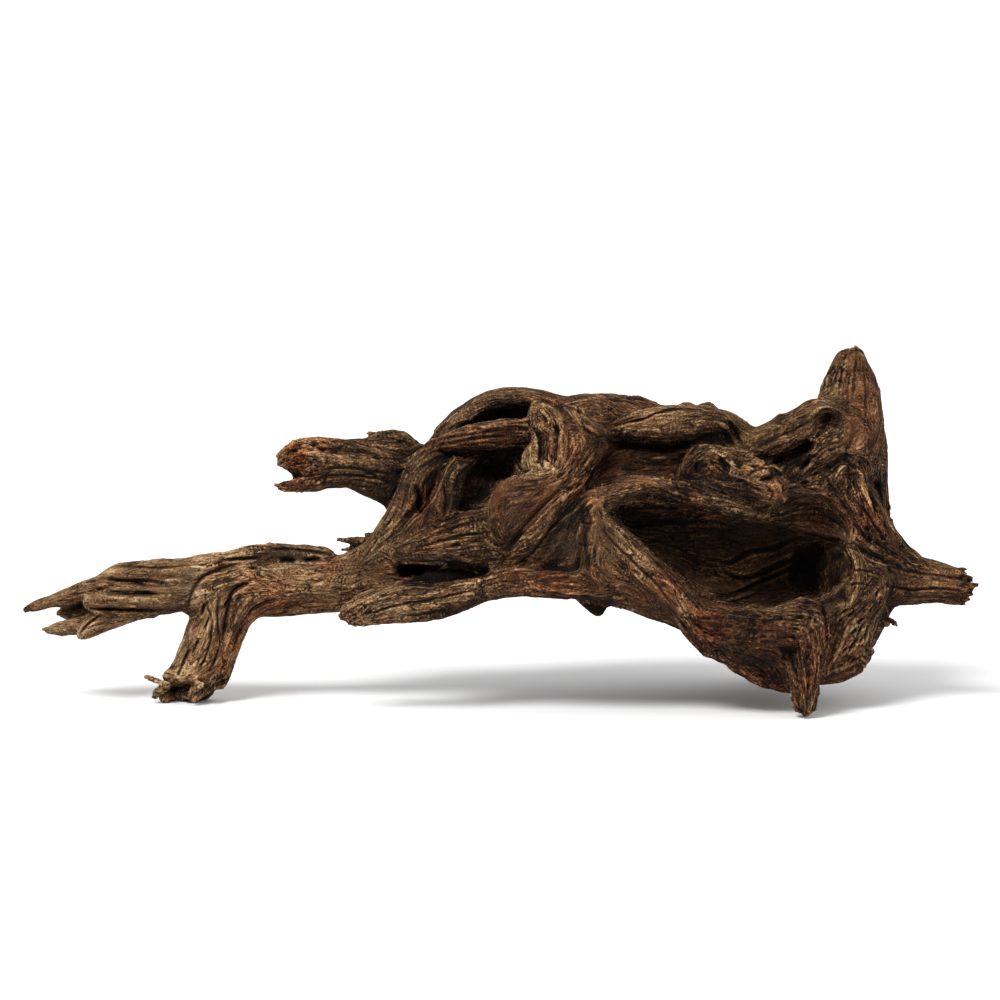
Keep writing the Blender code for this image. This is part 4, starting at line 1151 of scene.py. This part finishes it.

# Painted light and shade: how much lighter the colour is made where the wood faces up, and darker
# where it faces down, and how much lighter the left end is painted than the right
paintedLighting = {"above": 0.55, "below": 0.38, "facing": (0.1, 0.9),
          "left": 0.55, "fall": 0.9, "between": (-100, -30)}

# Depths that are told near each point and wider around it; they darken the colour in dips and hollows
# as painted shade and lighten ridges as painted highlight
hollows = {
    "dip": {"rounds": 2, "deep": 0.1, "between": (-1.5, 3)},
    "hollow": {"rounds": 25, "deep": 0.9, "between": (-1, 4)},
}


def hollowsOf(points, normals, links):
    # how far each point lies below its surroundings
    found = {}
    for name, given in hollows.items():
        below = dot(softened(points, links, given["rounds"]) - points, normals)
        found[name] = np.clip(below / given["deep"], *given["between"])
    return found


def paintedLightingOf(points, normals):
    # painted light on faces turned up and towards the left end, painted shade on faces turned down
    light = paintedLighting["above"] * smoothStep(normals[:, 2], *paintedLighting["facing"])
    light -= paintedLighting["below"] * smoothStep(-normals[:, 2], *paintedLighting["facing"])
    return light + paintedLighting["left"] - paintedLighting["fall"] * smoothStep(points[:, 0], *paintedLighting["between"])


def dressSkin():
    points, faces = formSkin()
    points, faces, links, normals, ways, free = fineSkin(points, faces)
    smooth = unit(softened(normals, links, rounds=6))
    looks = streaksOf(points, smooth, ways)
    report("grain drawn out")
    seen = Seen(points, normals)
    looks.update(patchesOn(points, seen))
    looks["free"] = free
    looks["grooveShade"] = np.zeros(len(points))
    thin, low = again["creases"]
    creases = [(thin * width, low * height, line) for width, height, line in folds if height < 0]
    # the cracks and creases are cut, and given painted shade
    cut = drawnLines(cracks + creases, seen, looks["grooveShade"])
    cut += drawnSteps(seen, len(points), *again["steps"])
    push = reliefOf(points, ways, looks)
    points = brokenBack(points - cut[:, None] * away + smooth * push[:, None])
    points[:, 2] = np.maximum(points[:, 2], 0.0)  # nothing reaches below the ground
    normals = normalsOf(points, faces)
    # painted light on upward faces and the left end, painted shade on downward faces
    looks["light"] += paintedLightingOf(points, normals)
    looks.update(hollowsOf(points, normals, links))
    report("relief raised")
    return points, faces, normals, looks


# Parting into pieces


pieces = {
    # name: node it stands for, its slot
    "tipFingers": ("branch_tip", "tan_wood"),
    "footLimb": ("front_leg", "tan_wood"),
    "longLimb": ("long_branch", "tan_wood"),
    "brokenStub": ("upper_stub", "brown_wood"),
    "hornLimb": ("horn", "brown_wood"),
    "rightRoot": ("right_root", "brown_wood"),
}
for third in ("Left", "Middle", "Right"):
    for half in ("Front", "Back"):
        pieces[f"crown{third}{half}"] = ("root_crown", "dark_wood")

# Each fork: a point in the drawing, the way the limb leaves, how far around it counts, and
# where the limb ends against its neighbours
forks = {
    "longLimb": {"at": (-62, -2, 76), "way": (-1, 0, -0.42), "reach": 105, "deeper": -27,
                 "below": 108},
    "brokenStub": {"at": (-60, 1, 123), "way": (-1, 0, 0.2), "reach": 60, "above": 104},
    "footLimb": {"at": (-139, 2, 50), "way": (0, 0, -1), "reach": 60},
    "tipFingers": {"at": (-158, 0, 64), "way": (-1, 0, 0.15), "reach": 90},
    "hornLimb": {"at": (173, -5, 154), "way": (0.4, 0, 1), "reach": 45},
    "rightRoot": {"at": (203, -7, 69), "way": (1, 0, -0.08), "reach": 45},
}

crownSplit = {"x": (32, 118), "depth": 2}


def pieceOf(centres):
    # the number of the piece that each face belongs to
    drawn = toDrawing(centres)
    names = list(pieces)
    third = np.searchsorted(crownSplit["x"], drawn[:, 0])
    back = drawn[:, 1] > crownSplit["depth"]
    owner = names.index("crownLeftFront") + 2 * third + back
    for name, fork in forks.items():
        apart = drawn - np.array(fork["at"])
        ahead = apart @ unit(np.array(fork["way"], float))
        inside = (ahead > 0) & (np.linalg.norm(apart, axis=1) < fork["reach"])
        inside &= drawn[:, 1] > fork.get("deeper", -math.inf)
        inside &= drawn[:, 2] < fork.get("below", math.inf)
        inside &= drawn[:, 2] > fork.get("above", -math.inf)
        owner = np.where(inside, names.index(name), owner)
    return owner


# What the material reads from the skin
shownLooks = ("strands", "fibres", "dip", "hollow", "light", "red", "grey", "smooth", "free",
              "grooveShade")


def addPiece(name, points, faces, normals, looks, material):
    used = np.unique(faces)
    index = np.zeros(len(points), int)
    index[used] = np.arange(len(used))
    mesh = meshFrom(name, points[used] / 1000, index[faces])
    mesh.shade_smooth()
    mesh.normals_split_custom_set_from_vertices(normals[used].tolist())
    for look in shownLooks:
        attribute = mesh.attributes.new(look, "FLOAT", "POINT")
        attribute.data.foreach_set("value", looks[look][used].astype(np.float32))
    space = np.stack([looks[look][used] for look in ("bundles", "strands", "fibres")], axis=1)
    attribute = mesh.attributes.new("grainSpace", "FLOAT_VECTOR", "POINT")
    attribute.data.foreach_set("vector", space.astype(np.float32).ravel())
    mesh.materials.append(material)
    obj = bpy.data.objects.new(name, mesh)
    bpy.context.scene.collection.objects.link(obj)
    node, slot = pieces[name]
    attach(obj, "root")
    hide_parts(node)
    return obj


# The wood's surface and colour, with its painted shade
surfaceAndPaintedShade = {
    "tone": 0.46,
    "ramp": {
        0.0: (0.004, 0.0022, 0.0014),
        0.22: (0.018, 0.0085, 0.0045),
        0.45: (0.072, 0.036, 0.0165),
        0.62: (0.172, 0.09, 0.04),
        0.8: (0.40, 0.235, 0.11),
        1.0: (0.72, 0.5, 0.28),
    },
    # colour of the painted shade
    "black": (0.004, 0.0025, 0.002),
    "roughness": {"least": 0.78, "more": 0.2},
    "gloss": 0.12,
    "crackWidth": 0.055,
    "grooveShade": 0.75,  # how dark the painted shade in the drawn grooves is
    # how far the painted shade goes towards that colour
    "darkest": 0.85,
    "drift": 110.0,  # what the place adds to the grain's own space, to a metre
    "pores": {"grain": 0.6, "drift": 420.0},  # the same for the pores
}

# What the colour is multiplied by, and how much of it the natural blotches take
tints = {
    "red": {"colour": (1.32, 0.80, 0.64), "most": 0.7},
    "grey": {"colour": (0.84, 1.0, 1.22), "most": 0.5},
}

# Each noise: scale, detail, roughness
noises = {
    "midFibre": (0.9, 3.0, 0.65),
    "fineFibre": (2.6, 3.0, 0.8),
    "pores": (1.0, 2.0, 0.6),
    "hairCracks": (0.5, 2.0, 0.5),
    "crackPlaces": (60.0, 3.0, 0.6),
    "speckle": (1000.0, 3.0, 0.8),
    "blotches": (28.0, 3.0, 0.6),
    "red": (19.0, 4.0, 0.65),
    "grey": (33.0, 3.0, 0.6),
}

# Where each begins and is whole
ranges = {
    "pores": (0.33, 0.25),
    "crackPlaces": (0.44, 0.56),
    "red": (0.48, 0.68),
    "grey": (0.55, 0.72),
    # free and hollow: where the painted shade begins and is whole
    "free": (0.6, 0.08),
    "hollow": (0.8, 2.6),
}

# How far each moves the tone along the ramp
tones = {
    "strands": 0.025,
    "fibres": 0.04,
    # painted shade in small dips, painted highlight on ridges
    "dip": -0.13,
    "midFibre": 0.8,
    "fineFibre": 1.7,
    "speckle": 0.6,
    "hairCracks": -0.36,
    "pores": -0.3,
    # painted shade in hollows, painted highlight on bulges
    "hollow": -0.11,
    # the light patches and facing: painted light and shade, with the wood's own tone
    "light": 0.16,
    "blotches": 0.5,
}

# How much of the tone's detail goes where the wood is smooth
smoothed = {"detail": -0.7, "fineDetail": -0.3}

# Strength and distance of the bump, and the share that each has in its height
bumps = {
    "strength": 0.9,
    "distance": 0.0014,
    "midFibre": 0.5,
    "fineFibre": 1.0,
    "speckle": 0.6,
    "hairCracks": -0.4,
    "pores": -0.5,
}


class Wiring:
    # a few short ways to build a material's nodes

    def __init__(self, material):
        material.use_nodes = True
        self.nodes = material.node_tree.nodes
        self.links = material.node_tree.links
        self.shader = self.nodes["Principled BSDF"]

    def give(self, socket, given):
        if isinstance(given, bpy.types.NodeSocket):
            self.links.new(given, socket)
        elif given is not None:
            socket.default_value = given

    def look(self, name, output="Fac"):
        node = self.nodes.new("ShaderNodeAttribute")
        node.attribute_name = name
        return node.outputs[output]

    def math(self, operation, a, b=None, c=None, clamp=False):
        node = self.nodes.new("ShaderNodeMath")
        node.operation = operation
        node.use_clamp = clamp
        for socket, given in zip(node.inputs, (a, b, c)):
            self.give(socket, given)
        return node.outputs[0]

    def scaled(self, vector, factor):
        node = self.nodes.new("ShaderNodeVectorMath")
        node.operation = "SCALE"
        self.give(node.inputs[0], vector)
        node.inputs["Scale"].default_value = factor
        return node.outputs[0]

    def added(self, a, b):
        node = self.nodes.new("ShaderNodeVectorMath")
        self.give(node.inputs[0], a)
        self.give(node.inputs[1], b)
        return node.outputs[0]

    def noise(self, vector, name):
        node = self.nodes.new("ShaderNodeTexNoise")
        self.give(node.inputs["Vector"], vector)
        for socket, value in zip(("Scale", "Detail", "Roughness"), noises[name]):
            node.inputs[socket].default_value = value
        return node.outputs["Fac"]

    def spots(self, vector, name):
        # a noise, stretched to its named range
        return self.stretch(self.noise(vector, name), *ranges[name])

    def mix(self, share, a, b, way="MIX"):
        node = self.nodes.new("ShaderNodeMix")
        node.data_type = "RGBA"
        node.blend_type = way
        self.give(node.inputs[0], share)
        for socket, given in zip((node.inputs[6], node.inputs[7]), (a, b)):
            self.give(socket, (*given, 1) if isinstance(given, tuple) else given)
        return node.outputs[2]

    def plus(self, value, factor, total):
        return self.math("MULTIPLY_ADD", value, factor, total)

    def plusNoise(self, value, factor, total):
        return self.plus(self.math("SUBTRACT", value, 0.5), factor, total)

    def thinLines(self, value, width):
        # one along the lines where a noise is at its middle
        far = self.math("ABSOLUTE", self.math("SUBTRACT", value, 0.5))
        return self.stretch(far, width, 0.2 * width)

    def stretch(self, value, low, high):
        node = self.nodes.new("ShaderNodeMapRange")
        node.interpolation_type = "SMOOTHSTEP"
        self.give(node.inputs["Value"], value)
        node.inputs["From Min"].default_value = low
        node.inputs["From Max"].default_value = high
        return node.outputs["Result"]


def fineParts(w, place, along):
    # what both the tone and the bump are made of
    pores = surfaceAndPaintedShade["pores"]
    porePlace = w.added(w.scaled(along, pores["grain"]), w.scaled(place, pores["drift"]))
    lines = w.thinLines(w.noise(along, "hairCracks"), surfaceAndPaintedShade["crackWidth"])
    return {
        "midFibre": w.noise(along, "midFibre"),
        "fineFibre": w.noise(along, "fineFibre"),
        "pores": w.spots(porePlace, "pores"),
        "hairCracks": w.math("MULTIPLY", lines, w.spots(place, "crackPlaces")),
        "speckle": w.noise(place, "speckle"),
    }


def toneOf(w, place, fine):
    detail = w.math("MULTIPLY", w.look("strands"), tones["strands"])
    # dip adds painted shade in small dips and painted highlight on ridges
    for look in ("fibres", "dip"):
        detail = w.plus(w.look(look), tones[look], detail)
    detail = w.plusNoise(fine["midFibre"], tones["midFibre"], detail)
    detail = w.math("MULTIPLY", detail, w.plus(w.look("smooth"), smoothed["detail"], 1.0))
    fineDetail = w.math("SUBTRACT", fine["fineFibre"], 0.5)
    fineDetail = w.math("MULTIPLY", fineDetail, tones["fineFibre"])
    fineDetail = w.plusNoise(fine["speckle"], tones["speckle"], fineDetail)
    for part in ("hairCracks", "pores"):
        fineDetail = w.plus(fine[part], tones[part], fineDetail)
    tone = w.plus(fineDetail, w.plus(w.look("smooth"), smoothed["fineDetail"], 1.0), detail)
    tone = w.math("ADD", tone, surfaceAndPaintedShade["tone"])
    # painted shade in hollows; painted light and shade, and tone, from the light patches and from
    # facing
    for look in ("hollow", "light"):
        tone = w.plus(w.look(look), tones[look], tone)
    return w.plusNoise(w.noise(place, "blotches"), tones["blotches"], tone)


def rampOf(w, tone):
    ramp = w.nodes.new("ShaderNodeValToRGB")
    stops = ramp.color_ramp.elements
    places = sorted(surfaceAndPaintedShade["ramp"])
    while len(stops) < len(places):
        stops.new(0.5)
    for stop, at in zip(stops, places):
        stop.position = at
        stop.color = (*surfaceAndPaintedShade["ramp"][at], 1)
    w.links.new(tone, ramp.inputs["Fac"])
    return ramp.outputs["Color"]


def tinted(w, place, colour, look):
    # multiplies by a tint in natural blotches, and where a patch of the look is drawn
    blotches = w.math("MULTIPLY", w.spots(place, look), tints[look]["most"])
    share = w.math("ADD", blotches, w.look(look), clamp=True)
    return w.mix(share, colour, tints[look]["colour"], "MULTIPLY")


def paintedShadeOf(w):
    # painted shade: the dark of slots, deep hollows and cracks, from how little light reaches a
    # point, how deep it lies and the drawn grooves
    shade = w.stretch(w.look("free"), *ranges["free"])
    shade = w.math("MAXIMUM", shade, w.stretch(w.look("hollow"), *ranges["hollow"]))
    grooveShade = w.math("MULTIPLY", w.look("grooveShade"), surfaceAndPaintedShade["grooveShade"])
    shade = w.math("MAXIMUM", shade, grooveShade, clamp=True)
    return w.math("MULTIPLY", shade, surfaceAndPaintedShade["darkest"])


def bumpOf(w, fine):
    bump = w.nodes.new("ShaderNodeBump")
    bump.inputs["Strength"].default_value = bumps["strength"]
    bump.inputs["Distance"].default_value = bumps["distance"]
    height = w.math("MULTIPLY", fine["midFibre"], bumps["midFibre"])
    for part in ("fineFibre", "speckle", "hairCracks", "pores"):
        height = w.plus(fine[part], bumps[part], height)
    w.links.new(height, bump.inputs["Height"])
    return bump.outputs["Normal"]


def woodMaterial():
    material = bpy.data.materials.new("weatheredWood")
    w = Wiring(material)
    place = w.nodes.new("ShaderNodeTexCoord").outputs["Object"]
    along = w.added(w.look("grainSpace", "Vector"), w.scaled(place, surfaceAndPaintedShade["drift"]))
    fine = fineParts(w, place, along)
    colour = rampOf(w, toneOf(w, place, fine))
    for look in tints:
        colour = tinted(w, place, colour, look)
    colour = w.mix(paintedShadeOf(w), colour, surfaceAndPaintedShade["black"])
    rough = surfaceAndPaintedShade["roughness"]
    w.links.new(colour, w.shader.inputs["Base Color"])
    w.links.new(bumpOf(w, fine), w.shader.inputs["Normal"])
    w.links.new(w.plus(fine["fineFibre"], rough["more"], rough["least"]),
                w.shader.inputs["Roughness"])
    w.shader.inputs["Specular IOR Level"].default_value = surfaceAndPaintedShade["gloss"]
    return material


# Floor, light and camera

stage = {
    "floor": {"colour": (0.92, 0.92, 0.92), "roughness": 0.9, "half": 6},  # metres
    "world": 0.76,
    "sun": {"from": (-0.45, -0.7, 1.0), "strength": 2.7, "angle": 22.0},
    "side": {"from": (0.9, -0.5, 0.6), "strength": 0.4, "angle": 40.0},
}


def addFloor():
    given = stage["floor"]
    corners = given["half"] * np.array([(-1, -1, 0), (1, -1, 0), (1, 1, 0), (-1, 1, 0)], float)
    floor = bpy.data.objects.new("floor", meshFrom("floor", corners, np.array([[0, 1, 2, 3]])))
    bpy.context.scene.collection.objects.link(floor)
    material = bpy.data.materials.new("paleFloor")
    material.use_nodes = True
    shader = material.node_tree.nodes["Principled BSDF"]
    shader.inputs["Base Color"].default_value = (*given["colour"], 1)
    shader.inputs["Roughness"].default_value = given["roughness"]
    floor.data.materials.append(material)


def addLight(name):
    given = stage[name]
    lamp = bpy.data.lights.new(name, "SUN")
    lamp.energy = given["strength"]
    lamp.angle = math.radians(given["angle"])
    obj = bpy.data.objects.new(name, lamp)
    obj.location = given["from"]
    obj.rotation_euler = Vector(given["from"]).to_track_quat("Z", "Y").to_euler()
    bpy.context.scene.collection.objects.link(obj)


def addWorld():
    world = bpy.data.worlds.new("studio")
    world.use_nodes = True
    back = world.node_tree.nodes["Background"]
    back.inputs["Color"].default_value = (1, 1, 1, 1)
    back.inputs["Strength"].default_value = stage["world"]
    bpy.context.scene.world = world
    bpy.context.scene.view_settings.view_transform = "Standard"


def addCamera():
    lens = bpy.data.cameras.new("camera")
    lens.lens = lens.sensor_width * view["distance"] / view["width"]
    lens.clip_end = 100
    camera = bpy.data.objects.new("camera", lens)
    camera.location = fromDrawing(np.array([0, -view["distance"], view["centre"]])) / 1000
    camera.rotation_euler = (math.radians(90 - view["lean"]), 0, 0)
    bpy.context.scene.collection.objects.link(camera)
    bpy.context.scene.camera = camera


addCamera()
addWorld()
addFloor()
addLight("sun")
addLight("side")
points, faces, normals, looks = dressSkin()
owners = pieceOf(points[faces].mean(axis=1))
wood = woodMaterial()
for number, name in enumerate(pieces):
    own = faces[owners == number]
    addPiece(name, points, own, normals, looks, wood)
    report(f"{name}: {2 * len(own)} triangles")
